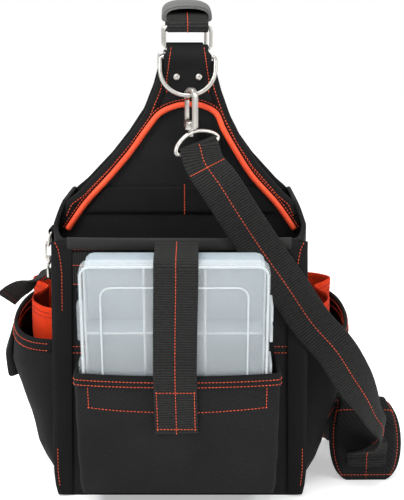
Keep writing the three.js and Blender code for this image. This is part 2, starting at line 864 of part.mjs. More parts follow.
const rivetProfile = [
  { out: 0, rise: 0 },
  { out: 1, rise: 0 },
  { out: 0.93, rise: 0.5 },
  { out: 0.6, rise: 0.85 },
  { out: 0, rise: 1 },
];
const rivetRise = 2;
const bowPlace = {};
for (const [name, out, shift] of [["front", -1, frontNeckShift], ["rear", 1, rearNeckShift]]) {
  const plane = out * wingPlane;
  const ringPoints = roundedOutline(
    ringInside / 2 + ringWire,
    ringLow,
    ringLow + ringRise,
    ringRound,
    2,
  ).map((p) => vec(shift + p.x, plane, p.y));
  add("ring_" + name, carry(roundSection(ringWire), inPlane(ringPoints, vec(0, 1, 0)), true), nickel);
  add("tab_" + name, tabGeometry(plane, out, shift), blackCloth);
  const ring = dRing(plane, out, shift);
  bowPlace[name] = ring.bow;
  add("d_ring_" + name, ring.geometry, nickel);
  for (const [side, sign] of [["left", -1], ["right", 1]]) {
    const dome = new THREE.LatheGeometry(
      rivetProfile.map((row) => flat(row.out * rivetRadius, row.rise * rivetRise)),
      12,
    );
    dome.rotateX(out < 0 ? Math.PI : 0);
    dome.translate(
      shift + (sign * rivetPitch) / 2,
      plane + out * (tabOff + tabThick / 2 + gap),
      rivetHeight,
    );
    add("rivet_" + name + "_" + side, geometryOf(solidOf(dome)), nickel);
  }
}

// Handle webbing: round each square ring's upper bar and over in a flat arch.
const barHeight = ringLow + ringRise;
const handleFold = ringWire + gap + handleThick / 2;
const handleArch = [
  { out: 0.84, rise: 0.6 },
  { out: 0.6, rise: 0.84 },
  { out: 0.3, rise: 0.97 },
];
function handleSide(sign) {
  const loop = [-0.15, 0.15, 0.4, 0.65, 0.9, 1.1].map((turn) =>
    flat(
      sign * (wingPlane - handleFold * Math.cos(turn * Math.PI)),
      barHeight - handleFold * Math.sin(turn * Math.PI),
    ),
  );
  const rise = handleArch.map(({ out, rise: share }) =>
    flat(sign * out * wingPlane, lerp(barHeight, handleTop, share)),
  );
  return [...loop, flat(sign * (wingPlane + 0.1 * handleFold), barHeight + 1.15 * handleFold), ...rise];
}
const handleLean = (geometry) => {
  const places = geometry.attributes.position;
  for (let i = 0; i < places.count; i += 1) {
    const share = clamp((places.getY(i) + wingPlane) / (2 * wingPlane), 0, 1);
    places.setX(i, places.getX(i) + lerp(frontNeckShift, rearNeckShift, share));
  }
  return geometry;
};
const handleLine = [...handleSide(-1), flat(0, handleTop), ...handleSide(1).reverse()];
add(
  "handle_webbing",
  handleLean(alongX(stripOutline(handleLine, handleThick), -webbing / 2, webbing / 2)),
  blackWebbing,
);

// Grip: a domed rubber sleeve whose mouth leaves room over the webbing.
const gripCrown = 10; // dome over the webbing
const gripUnder = handleThick / 2 + gap + 1.6;
function gripSection(inset) {
  const half = gripWidth / 2 - inset;
  const crown = gripCrown - inset;
  const under = gripUnder + gripWall - inset;
  const dome = Array.from({ length: 9 }, (_, i) => {
    const angle = (i / 8) * Math.PI;
    return flat(half * Math.cos(angle), crown * Math.sin(angle));
  });
  return [...dome, flat(1 - half, -under), flat(half - 1, -under)];
}
const archStops = [{ out: 0, rise: 1 }, ...[...handleArch].reverse(), { out: 1.2, rise: 0.24 }];
const gripRoute = (reach) => {
  const half = [...archStops.slice(0, -1).map(({ out }) => out * wingPlane), reach];
  return [...half.slice(1).reverse().map((y) => -y), ...half].map((y) => ({
    at: vec(0, y, lerp(barHeight, handleTop, lookUp(archStops, "out", "rise", Math.abs(y) / wingPlane))),
    across: vec(-1, 0, 0),
  }));
};
const gripOuter = carry(gripSection(0), gripRoute(gripHalfLength));
const gripRoom = carry(gripSection(gripWall), gripRoute(gripHalfLength + 2));
add("grip", handleLean(cut(gripOuter, gripRoom)), rubber);

// Snap hook, in its own frame: its swivel at the origin and its bow round a wire above.
const bowHeight = hookLength - bowOuter;
const hookFoot = 7;
function bowArc(radius, from, to, steps) {
  return Array.from({ length: steps + 1 }, (_, i) => {
    const angle = lerp(from, to, i / steps) * Math.PI;
    return flat(radius * Math.cos(angle), bowHeight + radius * Math.sin(angle));
  });
}
const hookOutline = [
  flat(-bowOuter, hookFoot - 5),
  flat(bowOuter, hookFoot - 5),
  ...bowArc(bowOuter, 0, 1.1, 9),
  ...bowArc(bowInner, 1.1, 0, 8),
  flat(bowInner, hookFoot + 1),
  flat(-bowOuter, hookFoot + 1),
];
const hookSolid = () =>
  join(
    alongY(hookOutline, -hookThick / 2, hookThick / 2),
    new THREE.CylinderGeometry(5.2, 5.8, hookFoot, 14).rotateX(Math.PI / 2).translate(0, 0, hookFoot / 2),
  );
const studBore = new THREE.CylinderGeometry(studRadius + gap, studRadius + gap, 2 * studLength + 2 * gap, 14);
const gateFoot = hookFoot + 1 + gap;
const gateTop = bowHeight - 3.4;
const gateRound = (bowOuter - bowInner) / 2; // its foot is round about the pin
const gateOutline = [
  ...[4, 3, 2, 1, 0].map((i) => {
    const angle = (-i * Math.PI) / 4;
    return flat(
      gateRound * Math.cos(angle) - bowOuter + gateRound,
      gateFoot + gateRound + gateRound * Math.sin(angle),
    );
  }),
  flat(-bowInner, gateTop),
  flat(0.2 - bowOuter, gateTop),
];
const wireRise = (offset) => {
  const radius = dInside / 2 + dWire;
  return radius - Math.sqrt(radius * radius - offset * offset);
};
const snapHang = bowHeight + bowInner - dWire - 2 * gap;
const snapGroup = new THREE.Group();
snapGroup.position.copy(bowPlace.front).add(vec(snapShift, 0, wireRise(snapShift + bowInner) - snapHang));
snapGroup.rotation.z = snapYaw;
model.add(snapGroup);
add("snap_hook", cut(hookSolid(), studBore.rotateX(Math.PI / 2)), nickel, snapGroup);
add("snap_gate", alongY(gateOutline, 0.6 - hookThick / 2, hookThick / 2 - 0.6), nickel, snapGroup);

// Strap eye: a stud in the swivel and a loop for the webbing.
const eyeHalf = webbing / 2 + 5 * gap + eyeWire;
const eyeShape = [
  { out: 0.16, drop: 0.26 },
  { out: 0.55, drop: 0.28 },
  { out: 0.88, drop: 0.52 },
  { out: 1, drop: 0.86 },
  { out: 0.93, drop: 1 },
];
function eyeLoop() {
  const side = (sign) => eyeShape.map(({ out, drop }) => vec(sign * out * eyeHalf, 0, -drop * eyeDrop));
  const route = inPlane([...side(-1), ...side(1).reverse()], vec(0, 1, 0));
  return carry(roundSection(eyeWire), route, true);
}
const eyeTurn = new THREE.Euler(eyeForward, -eyeTilt, eyeYaw, "ZYX");
const eyeStud = new THREE.CylinderGeometry(studRadius, studRadius, studLength + 6, 12)
  .rotateX(Math.PI / 2)
  .translate(0, 0, (studLength - 6) / 2);
const turned = (geometry, euler) =>
  geometry.applyMatrix4(new THREE.Matrix4().makeRotationFromEuler(euler));
const eyePlace = snapGroup.position.clone();
add("snap_eye", join(turned(eyeLoop(), eyeTurn), eyeStud), nickel).position.copy(eyePlace);

// The rear hook is hidden by the bag: one plain piece with its eye.
const gateBar = (foot) => [
  flat(-bowOuter, foot),
  flat(-bowInner, foot),
  flat(-bowInner, bowHeight),
  flat(-bowOuter, bowHeight),
];
const rearGroup = new THREE.Group();
rearGroup.position.copy(bowPlace.rear).add(vec(0, 0, -snapHang));
model.add(rearGroup);
const rearHook = join(
  hookSolid().rotateZ(Math.PI / 2),
  alongY(gateBar(gateFoot - 2), 0.6 - hookThick / 2, hookThick / 2 - 0.6).rotateZ(Math.PI / 2),
  eyeStud.clone(),
  eyeLoop(),
);
add("rear_snap", rearHook, nickel, rearGroup);

// Shoulder pad: an upside-down U that stands on its two ends.
const padDirection = vec(Math.sin(padTurn), Math.cos(padTurn), 0);
const padAcross = vec(Math.cos(padTurn), -Math.sin(padTurn), 0);
const padFold = [
  { along: 0, rise: -0.06, wide: 0.78 },
  { along: 0.05, rise: 0.33, wide: 0.97 },
  { along: 0.11, rise: 0.66, wide: 1 },
  { along: 0.16, rise: 0.86, wide: 0.92 },
  { along: 0.24, rise: 0.98, wide: 0.8 },
  { along: 0.34, rise: 0.98, wide: 0.76 },
  { along: 0.45, rise: 0.86, wide: 0.85 },
  { along: 0.62, rise: 0.58, wide: 0.97 },
  { along: 0.8, rise: 0.29, wide: 1 },
  { along: 1, rise: -0.05, wide: 0.85 },
];
const padTopMiddle = padHeight - padThick / 2;
const padCurve = new THREE.CatmullRomCurve3(
  padFold.map(({ along, rise }) =>
    vec(padX, padY, rise * padTopMiddle).addScaledVector(padDirection, along * padSpread),
  ),
  false,
  "centripetal",
);
const padLength = padCurve.getLength();
// A place on the pad at a length along it, off its middle layer by a distance.
function padPoint(length, off) {
  const share = clamp(length / padLength, 0, 1);
  const along = padCurve.getTangentAt(share);
  const proud = vec(0, 0, 0).crossVectors(padAcross, along);
  return padCurve.getPointAt(share).addScaledVector(proud, off);
}
const padWideAt = (length) => {
  const place = padCurve.getPointAt(clamp(length / padLength, 0, 1));
  const along = place.sub(vec(padX, padY, 0)).dot(padDirection);
  return lookUp(padFold, "along", "wide", along / padSpread);
};
const padStops = (from, to, count) =>
  Array.from({ length: count + 1 }, (_, i) => {
    const length = lerp(from, to, i / count);
    return { at: padPoint(length, 0), across: padAcross, wide: padWideAt(length) };
  });
const padSection = [-1, 1].flatMap((sign) =>
  [-0.5, -0.25, 0, 0.25, 0.5].map((turn) => {
    const angle = turn * Math.PI;
    return flat(
      sign * (padWidth / 2 - padThick / 2 + (padThick / 2) * Math.cos(angle)),
      sign * (padThick / 2) * Math.sin(angle),
    );
  }),
);
const slotWidth = webbing + 2;
const slotHalf = strapThick / 2 + 2 * gap;
const foldOff = 3; // the strap's front ply off the pad's middle, behind the end band
const padFace = padThick / 2;
// A room in the pad between two lengths and two offsets, as wide as the strap's slot.
function padRoom(from, to, low, high) {
  const count = Math.max(2, Math.round((to - from) / 7));
  const stops = padStops(from, to, count).map((stop) => ({ at: stop.at, across: padAcross }));
  return carry(bandSection(slotWidth, -high, -low), stops);
}
const padFloorLength = 5; // where the pad's middle meets the floor, less its end
add(
  "shoulder_pad",
  cut(
    carry(padSection, padStops(0, padLength, 20)),
    padRoom(padFloorLength, padLength - 20, -slotHalf, slotHalf),
    padRoom(padFloorLength, padBand + 10, -slotHalf, foldOff + slotHalf),
    padRoom(padBand + 4, padBand + 17, foldOff - 2, padFace + 6),
    padRoom(padLength - 32, padLength - 12, -slotHalf, padFace + 6),
    boxBetween([0, -farOut, -farOut], [farOut, farOut, 0]),
  ),
  blackCloth,
);

// Shoulder strap: one ribbon from the front eye to the pad, through it, and up to the rear eye.
const strapTurn = eyeWire + 2 * gap + strapThick / 2;
const barOf = (place, euler) => vec(0, 0, -eyeDrop).applyEuler(euler).add(place);
// The strap's end, doubled behind it and turned round the eye's bar.
function strapEnd(bar, across, front, down) {
  const tail = [20, 12, 6].map((drop) => ({
    at: bar.clone().addScaledVector(front, -strapTurn).addScaledVector(down, drop),
    across,
  }));
  const turn = [0, 1, 2, 3, 4].map((i) => {
    const angle = (i / 4) * Math.PI;
    return {
      at: bar
        .clone()
        .addScaledVector(front, -strapTurn * Math.cos(angle))
        .addScaledVector(down, -strapTurn * Math.sin(angle)),
      across,
    };
  });
  return [...tail, ...turn];
}
const frontBar = barOf(eyePlace, eyeTurn);
const frontAcross = vec(-1, 0, 0).applyEuler(eyeTurn);
const frontDown = vec(0.25, -0.3, -1).cross(frontAcross).cross(frontAcross).negate().normalize();
const frontProud = vec(0, 0, 0).crossVectors(frontDown, frontAcross).normalize();
if (frontProud.y > 0) frontProud.negate();

// The free stretch over the bag's front, chosen by hand.
const strapFront = [
  { at: vec(24, -82, 306), across: vec(-0.85, -0.3, -0.45) },
  { at: vec(34.4, -87, 298), across: vec(-0.84, -0.15, -0.52) },
  { at: vec(53.4, -90, 268), across: vec(-0.83, -0.05, -0.56) },
  { at: vec(74.5, -91, 236), across: vec(-0.83, 0, -0.56) },
  { at: vec(97, -91, 204), across: vec(-0.83, 0, -0.56) },
  { at: vec(123, -89.5, 165), across: vec(-0.83, 0, -0.56) },
  { at: vec(143, -89, 143), across: vec(-0.84, 0, -0.54) },
  { at: vec(160, -83, 115), across: vec(-0.86, -0.1, -0.5) },
  { at: vec(174, -77, 92), across: vec(-0.84, -0.35, -0.4) },
  { at: vec(183, -73, 73), across: vec(-0.65, -0.65, -0.4) },
  { at: vec(191, -71, 60), across: vec(-0.25, -0.9, -0.37) },
  { at: vec(189, -68, 49), across: vec(-0.4, -0.85, -0.4) },
  { at: vec(183, -62, 40), across: vec(-0.85, -0.5, -0.25) },
];
const padWay = padAcross.clone().negate();
const strapPad = [
  { length: 29, off: padFace + 3.2 },
  { length: padBand + 13, off: padFace + 1.1 },
  { length: padBand + 6, off: foldOff + 1.2 },
  { length: padBand + 1.5, off: foldOff },
  { length: padFloorLength + 1.9, off: 0.5 * foldOff },
  { length: padBand + 2, off: 0 },
  { length: padBand + 12, off: 0 },
];
const strapInside = Array.from({ length: 17 }, (_, i) => ({
  length: lerp(30, padLength - 42, i / 16),
  off: 0,
}));
const strapOut = [
  { length: padLength - 31, off: 0.4 },
  { length: padLength - 22, off: padFace - 1 },
  { length: padLength - 14, off: padFace + 2.6 },
];
const strapRear = [
  { at: vec(177, 86, 12), across: padWay },
  { at: vec(172, 98, 17), across: vec(-0.98, 0, -0.1) },
  { at: vec(158, 105, 38), across: vec(-0.92, 0, -0.35) },
  { at: vec(134, 107, 78), across: vec(-0.87, 0, -0.48) },
  { at: vec(98, 106, 140), across: vec(-0.87, 0, -0.48) },
  { at: vec(60, 104, 205), across: vec(-0.88, 0, -0.46) },
  { at: vec(26, 98, 262), across: vec(-0.92, 0, -0.38) },
  { at: vec(6, 88, 300), across: vec(-0.98, 0, -0.15) },
];
const rearBar = barOf(rearGroup.position, new THREE.Euler(0, 0, 0));
const rearEnd = strapEnd(rearBar, vec(-1, 0, 0), vec(0, 1, 0), vec(0, 0, -1)).reverse();
const strapStops = [
  ...strapEnd(frontBar, frontAcross, frontProud, frontDown),
  ...strapFront,
  ...[...strapPad, ...strapInside, ...strapOut].map(({ length, off }) => ({
    at: padPoint(length, off),
    across: padWay,
  })),
  ...strapRear,
  ...rearEnd,
];
const strapSection = bandSection(webbing, -strapThick / 2, strapThick / 2);
const strapRoute = smoothRoute(strapStops, 2 * (strapStops.length - 1));
add("shoulder_strap", carry(strapSection, strapRoute), blackWebbing);

// Small hardware on the left: a sewn loop, its ring, a snap and a short strap with a free end.
const wallX = -bodyHalfAt(sideHardwareY, sideHardwareTop);
const loopThick = 1.6;
const smallWire = 1.4;
const smallFold = smallWire + gap + loopThick / 2;
const loopX = wallX - gap - loopThick / 2 - smallFold;
const smallBar = vec(loopX, sideHardwareY, sideHardwareTop - 2);
const loopHalf = 8;
const sewnTop = 13;
const loopLine = [
  flat(smallBar.x + smallFold, smallBar.z + sewnTop),
  ...[0, 1, 2, 3, 4].map((i) => {
    const angle = (-i * Math.PI) / 4;
    return flat(smallBar.x + smallFold * Math.cos(angle), smallBar.z + smallFold * Math.sin(angle));
  }),
  flat(smallBar.x - smallFold, smallBar.z + 0.6 * sewnTop),
  flat(smallBar.x - smallFold + 1.8, smallBar.z + sewnTop),
];
add(
  "side_loop",
  alongY(stripOutline(loopLine, loopThick), sideHardwareY - loopHalf, sideHardwareY + loopHalf),
  blackWebbing,
);
const smallRing = roundedOutline(loopHalf + gap + smallWire + 3, -14, 0, 4, 2).map((p) => vec(0, p.x, p.y));
const sideRing = carry(roundSection(smallWire), inPlane(smallRing, vec(1, 0, 0)), true).rotateY(degToRad(14));
add("side_ring", sideRing, nickel).position.copy(smallBar);
const smallSnapScale = 0.55;
const smallSnap = new THREE.Group();
const ringFoot = vec(0, 0, -14).applyAxisAngle(vec(0, 1, 0), degToRad(14)).add(smallBar);
const smallHang = smallSnapScale * (bowHeight + bowInner) - smallWire - gap;
const sideSnapSolid = join(
  new THREE.CylinderGeometry(3, 3, 6, 10).rotateX(Math.PI / 2).translate(0, 0, 3),
  alongY(hookOutline, -hookThick / 2, hookThick / 2).scale(smallSnapScale, smallSnapScale, smallSnapScale),
  alongY(gateBar(hookFoot), -hookThick / 3, hookThick / 3)
    .scale(smallSnapScale, smallSnapScale, smallSnapScale),
  carry(
    roundSection(smallWire),
    inPlane(
      roundedOutline(tapeWidth / 2 + 3 * gap + smallWire, -12, 0, 2, 2).map((p) => vec(0, p.x, p.y)),
      vec(1, 0, 0),
    ),
    true,
  ),
);
smallSnap.position.copy(ringFoot).add(vec(0, 0, -smallHang));
model.add(smallSnap);
add("side_snap", sideSnapSolid, nickel, smallSnap);
const tapeBar = smallSnap.position.clone().add(vec(0, 0, -12));
const tapeTurn = smallWire + gap + tapeThick / 2;
const tapeFall = [
  { out: 11, back: 0.5, drop: 2.5, across: vec(0.3, 0.85, 0.3) },
  { out: 25, back: 3, drop: 12, across: vec(0.45, 0.7, -0.5) },
  { out: 35, back: 5, drop: 18, across: vec(0.5, 0.6, -0.6) },
  { out: 44, back: 7, drop: 26, across: vec(0.55, 0.5, -0.65) },
];
const tapeStops = [
  ...[-0.25, 0, 0.25, 0.5, 0.75, 1].map((turn) => ({
    at: tapeBar.clone().add(
      vec(tapeTurn * Math.cos(turn * Math.PI), 0, tapeTurn * Math.sin(turn * Math.PI)),
    ),
    across: vec(0, 1, 0),
  })),
  ...tapeFall.map(({ out, back, drop, across }) => ({
    at: tapeBar.clone().add(vec(-out, back, -drop)),
    across,
  })),
];
const tapeSection = bandSection(tapeWidth, -tapeThick / 2, tapeThick / 2);
const tapeRoute = smoothRoute(tapeStops, 2 * (tapeStops.length - 1));
add("tape_strap", carry(tapeSection, tapeRoute), blackWebbing);

export default model;
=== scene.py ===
import math

import bmesh
import bpy
import numpy as np
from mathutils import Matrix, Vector


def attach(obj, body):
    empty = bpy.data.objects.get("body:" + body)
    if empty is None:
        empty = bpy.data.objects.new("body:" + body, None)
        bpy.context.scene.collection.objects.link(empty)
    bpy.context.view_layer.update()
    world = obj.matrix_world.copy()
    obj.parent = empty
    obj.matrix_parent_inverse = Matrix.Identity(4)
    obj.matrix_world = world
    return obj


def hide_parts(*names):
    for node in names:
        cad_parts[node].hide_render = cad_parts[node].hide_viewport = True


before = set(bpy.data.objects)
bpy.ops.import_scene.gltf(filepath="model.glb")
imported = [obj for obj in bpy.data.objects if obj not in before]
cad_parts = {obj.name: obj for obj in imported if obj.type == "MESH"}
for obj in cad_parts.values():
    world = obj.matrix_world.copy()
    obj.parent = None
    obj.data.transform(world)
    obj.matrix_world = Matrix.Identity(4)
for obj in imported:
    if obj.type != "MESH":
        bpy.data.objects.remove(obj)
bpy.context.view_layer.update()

metre = 0.001  # shapes are worked out in millimetres and go into the meshes in metres
white = (1, 1, 1, 1)


# Fills a node's inputs: a socket is linked, and any other value is set.
def fill(tree, node, inputs):
    for label, value in dict(inputs).items():
        if isinstance(value, bpy.types.NodeSocket):
            tree.links.new(value, node.inputs[label])
        else:
            node.inputs[label].default_value = value


def newMaterial(name, inputs):
    material = bpy.data.materials.new(name)
    material.use_nodes = True
    tree = material.node_tree
    shader = tree.nodes["Principled BSDF"]
    fill(tree, shader, inputs)
    return material, tree, shader


studio = {
    "cameraPlace": (20.5, -1202, 442),
    "cameraPitch": 10.5,  # degrees below the horizon
    "lens": 90,
    "sensor": 36,
    "clipEnd": 50,
    "target": (0, 0, 200),  # where the lamps point
    "floorHalf": 6000,
    "floorColor": (0.93, 0.93, 0.93, 1),
    "floorGlow": 0.42,
    "behind": 1.0,  # brightness behind the bag, which the camera sees
    "inFront": 0.22,  # brightness of the room behind the camera
}
lamps = (  # place, size, watts
    ((-950, -1000, 1250), 700, 17),
    ((1150, -800, 900), 600, 8),
    ((-100, -350, 1650), 900, 15),
)


def buildStudio():
    scene = bpy.context.scene
    scene.view_settings.view_transform = "Standard"
    lens = bpy.data.cameras.new("camera")
    lens.lens, lens.sensor_width, lens.clip_end = studio["lens"], studio["sensor"], studio["clipEnd"]
    camera = bpy.data.objects.new("camera", lens)
    camera.location = Vector(studio["cameraPlace"]) * metre
    camera.rotation_euler = (math.radians(90 - studio["cameraPitch"]), 0, 0)
    scene.collection.objects.link(camera)
    scene.camera = camera

    # the room's brightness rises by a smooth step from the camera's side to the far side
    world = bpy.data.worlds.new("studio")
    world.use_nodes = True
    scene.world = world
    tree = world.node_tree
    place, split, ramp = (
        tree.nodes.new("ShaderNode" + kind) for kind in ("TexCoord", "SeparateXYZ", "MapRange")
    )
    ramp.interpolation_type = "SMOOTHSTEP"
    fill(tree, split, {0: place.outputs["Generated"]})
    fill(tree, ramp, {"Value": split.outputs[1], "From Min": -0.35, "From Max": 0.25})
    fill(tree, ramp, {"To Min": studio["inFront"], "To Max": studio["behind"]})
    fill(tree, tree.nodes["Background"], {"Strength": ramp.outputs[0], "Color": white})

    for number, (spot, size, watts) in enumerate(lamps):
        lamp = bpy.data.lights.new(f"softbox{number}", "AREA")
        lamp.shape, lamp.size, lamp.energy = "SQUARE", size * metre, watts
        light = bpy.data.objects.new(f"softbox{number}", lamp)
        light.location = Vector(spot) * metre
        aim = (Vector(studio["target"]) - Vector(spot)) * metre
        light.rotation_euler = aim.to_track_quat("-Z", "Y").to_euler()
        scene.collection.objects.link(light)

    half = studio["floorHalf"] * metre
    corners = [(-half, -half, 0), (half, -half, 0), (half, half, 0), (-half, half, 0)]
    mesh = bpy.data.meshes.new("floor")
    mesh.from_pydata(corners, [], [(0, 1, 2, 3)])
    floor = bpy.data.objects.new("floor", mesh)
    scene.collection.objects.link(floor)
    glow = {"Emission Color": white, "Emission Strength": studio["floorGlow"]}
    paper = newMaterial("floorPaper", {"Roughness": 0.9, "Base Color": studio["floorColor"], **glow})[0]
    mesh.materials.append(paper)
    print("studio ready")


def mathNode(tree, operation, *values):
    node = tree.nodes.new("ShaderNodeMath")
    node.operation = operation
    fill(tree, node, enumerate(values))
    return node.outputs[0]


def mixColor(tree, share, first, second):
    node = tree.nodes.new("ShaderNodeMix")
    node.data_type = "RGBA"
    fill(tree, node, {0: share, 6: first, 7: second})
    return node.outputs[2]


def noiseNode(tree, place, scale, detail=2):
    node = tree.nodes.new("ShaderNodeTexNoise")
    fill(tree, node, {"Vector": place, "Scale": scale, "Detail": detail})
    return node.outputs[0]


# The across and along parts of a surface place.
def splitPlace(tree, place):
    node = tree.nodes.new("ShaderNodeSeparateXYZ")
    fill(tree, node, {0: place})
    return node.outputs[0], node.outputs[1]


# A node group that gives a colour, a height and a roughness.
def newGroup(name, inputs):
    group = bpy.data.node_groups.new(name, "ShaderNodeTree")
    for label, value in inputs.items():
        kind = "Vector" if value is None else "Color" if isinstance(value, tuple) else "Float"
        socket = group.interface.new_socket(label, in_out="INPUT", socket_type="NodeSocket" + kind)
        if value is not None:
            socket.default_value = value
    for label, kind in (("Color", "Color"), ("Height", "Float"), ("Roughness", "Float")):
        group.interface.new_socket(label, in_out="OUTPUT", socket_type="NodeSocket" + kind)
    start = group.nodes.new("NodeGroupInput")
    return group, start.outputs, group.nodes.new("NodeGroupOutput")


threadTones = {"Dark": (0.01, 0.01, 0.01, 1), "Light": (0.03, 0.03, 0.03, 1)}


# Threads over and under: the height is a product of two sine waves along u and v, which Twill turns
# into one sine wave of their sum. That height is also painted into the colour, as painted highlight on the
# thread crests and painted shade in the dips. Fuzz changes each thread's tone, and mottle that of the whole
# piece, at random.
def clothGroup():
    counts = {"Threads U": 900.0, "Threads V": 900.0, "Slant": 0.0, "Twill": 0.0}
    group, start, end = newGroup("clothThreads", {"Surface": None, **counts, **threadTones})

    def work(operation, *values):
        return mathNode(group, operation, *values)

    across, along = splitPlace(group, start["Surface"])
    u = work("MULTIPLY", work("MULTIPLY_ADD", along, start["Slant"], across), start["Threads U"])
    v = work("MULTIPLY", along, start["Threads V"])
    waveU, waveV, diagonal = (
        work("SINE", work("MULTIPLY", place, math.pi)) for place in (u, v, work("ADD", u, v))
    )
    plain = work("MULTIPLY", waveU, waveV)
    thread = work("MULTIPLY_ADD", work("SUBTRACT", diagonal, plain), start["Twill"], plain)
    weave = work("MULTIPLY_ADD", thread, 0.5, 0.5)
    fuzz = noiseNode(group, start["Surface"], 420, 3)
    mottle = noiseNode(group, start["Surface"], 17, 4)
    # painted highlight and shade: the weave's crests are made lighter and its dips darker in the colour
    tone = work("MULTIPLY_ADD", weave, 0.5, work("MULTIPLY", fuzz, 0.3))
    tone = work("MULTIPLY_ADD", mottle, 0.35, tone)
    tone = work("MINIMUM", work("MAXIMUM", tone, 0.0), 1.0)
    rough = work("MULTIPLY_ADD", mottle, -0.25, 0.95)
    color = mixColor(group, tone, start["Dark"], start["Light"])
    fill(group, end, {"Color": color, "Height": weave, "Roughness": rough})
    return group


# Ribs across a strap: the height is a sine wave along it, with a fine sine wave across on top. The colour
# follows the same waves, as painted highlight on the rib crests and painted shade in the grooves, and fuzz adds
# the strap's own random tone.
def ribGroup():
    group, start, end = newGroup("strapRibs", {"Surface": None, "Ribs": 417.0, **threadTones})

    def work(operation, *values):
        return mathNode(group, operation, *values)

    across, along = splitPlace(group, start["Surface"])
    wave = work("SINE", work("MULTIPLY", work("MULTIPLY", along, start["Ribs"]), 2 * math.pi))
    rib = work("MULTIPLY_ADD", wave, 0.5, 0.5)
    thread = work("SINE", work("MULTIPLY", across, 2 * math.pi * 1300))
    fuzz = noiseNode(group, start["Surface"], 300)
    # painted highlight and shade: rib crests are made lighter and the grooves darker in the colour
    tone = work("MULTIPLY_ADD", rib, 0.55, work("MULTIPLY", fuzz, 0.5))
    tone = work("MINIMUM", work("MULTIPLY_ADD", thread, 0.08, tone), 1.0)
    color = mixColor(group, tone, start["Dark"], start["Light"])
    height, rough = work("MULTIPLY_ADD", thread, 0.15, rib), work("MULTIPLY_ADD", fuzz, -0.2, 0.85)
    fill(group, end, {"Color": color, "Height": height, "Roughness": rough})
    return group


# Handling marks: noise at two sizes gives a small change of tone and of roughness.
def speckleGroup():
    tones = {"Clean": (0.8, 0.8, 0.8, 1), "Marked": (0.6, 0.6, 0.6, 1)}
    group, start, end = newGroup("handling", {"Fine": 400.0, **tones, "Base Roughness": 0.2})
    place = group.nodes.new("ShaderNodeTexCoord").outputs["Object"]
    fine = noiseNode(group, place, start["Fine"], 5)
    share = mathNode(group, "MULTIPLY", fine, noiseNode(group, place, 40))
    share = mathNode(group, "MINIMUM", mathNode(group, "MULTIPLY", share, 2.2), 1.0)
    color = mixColor(group, share, start["Clean"], start["Marked"])
    rough = mathNode(group, "MULTIPLY_ADD", share, 0.22, start["Base Roughness"])
    fill(group, end, {"Color": color, "Height": fine, "Roughness": rough})
    return group


# A material whose colour, roughness and relief come from a group; bump is the relief in millimetres.
def groupMaterial(name, group, values, bump, strength, inputs):
    material, tree, shader = newMaterial(name, inputs)
    effect = tree.nodes.new("ShaderNodeGroup")
    effect.node_tree = group
    fill(tree, effect, values)
    fill(tree, shader, {"Base Color": effect.outputs["Color"], "Roughness": effect.outputs["Roughness"]})
    if bump > 0:
        relief = tree.nodes.new("ShaderNodeBump")
        fill(tree, relief, {"Distance": bump * metre, "Strength": strength})
        fill(tree, relief, {"Height": effect.outputs["Height"]})
        fill(tree, shader, {"Normal": relief.outputs[0]})
    return material, tree, effect


def clothMaterial(name, group, dark, light, values, bump, sheen=0.0, specular=0.14):
    values = {**values, "Dark": (*dark, 1), "Light": (*light, 1)}
    feel = {"Specular IOR Level": specular, "Sheen Weight": sheen, "Sheen Roughness": 0.5}
    material, tree, effect = groupMaterial(name, group, values, bump, 0.8, feel)
    place = tree.nodes.new("ShaderNodeUVMap")
    place.uv_map = "surface"
    fill(tree, effect, {"Surface": place.outputs[0]})
    return material


def hardMaterial(name, clean, marked, roughness, metallic=0.0, fine=60.0, bump=0.0, alpha=1.0):
    values = {"Clean": (*clean, 1), "Marked": (*marked, 1), "Base Roughness": roughness, "Fine": fine}
    return groupMaterial(name, handling, values, bump, 1.0, {"Metallic": metallic, "Alpha": alpha})[0]


def threadCount(u, v, **more):
    return {"Threads U": u, "Threads V": v, **more}


clothThreads, strapRibs, handling = clothGroup(), ribGroup(), speckleGroup()
blackCloth = clothMaterial(
    "blackCloth", clothThreads, (0.0015, 0.0015, 0.0017), (0.021, 0.021, 0.022),
    threadCount(620.0, 620.0, Slant=0.35), bump=0.25, specular=0.1,
)
tapeCloth = clothMaterial(
    "tapeCloth", clothThreads, (0.003, 0.003, 0.0031), (0.015, 0.015, 0.0155),
    threadCount(1500.0, 700.0), bump=0.15, specular=0.1,
)
rimCloth = clothMaterial(
    "rimCloth", clothThreads, (0.009, 0.009, 0.009), (0.042, 0.042, 0.041),
    threadCount(1500.0, 700.0), bump=0.15, sheen=0.02,
)
orangeTwill = clothMaterial(
    "orangeTwill", clothThreads, (0.2, 0.005, 0.0012), (0.92, 0.055, 0.007),
    threadCount(560.0, 560.0, Twill=1.0), bump=0.3, sheen=0.02,
)
ribbedStrap = clothMaterial(
    "ribbedStrap", strapRibs, (0.0025, 0.0025, 0.0026), (0.027, 0.027, 0.026),
    {"Ribs": 417.0}, bump=0.5, sheen=0.02,
)
orangeCord = hardMaterial("orangeCord", (0.95, 0.1, 0.022), (0.7, 0.05, 0.012), 0.5, fine=900.0, bump=0.1)
orangeThread = hardMaterial(
    "orangeThread", (0.95, 0.13, 0.035), (0.6, 0.05, 0.014), 0.55, fine=900.0, bump=0.05
)
redThread = hardMaterial("redThread", (0.2, 0.012, 0.006), (0.1, 0.006, 0.004), 0.7, fine=900.0, bump=0.02)
gripRubber = hardMaterial("gripRubber", (0.062, 0.062, 0.06), (0.1, 0.1, 0.097), 0.45, fine=260.0, bump=0.12)
brightNickel = hardMaterial("brightNickel", (0.6, 0.585, 0.55), (0.46, 0.445, 0.41), 0.26, metallic=1.0)
frostedPlastic = hardMaterial("frostedPlastic", (0.76, 0.81, 0.83), (0.7, 0.76, 0.79), 0.3, alpha=0.2)
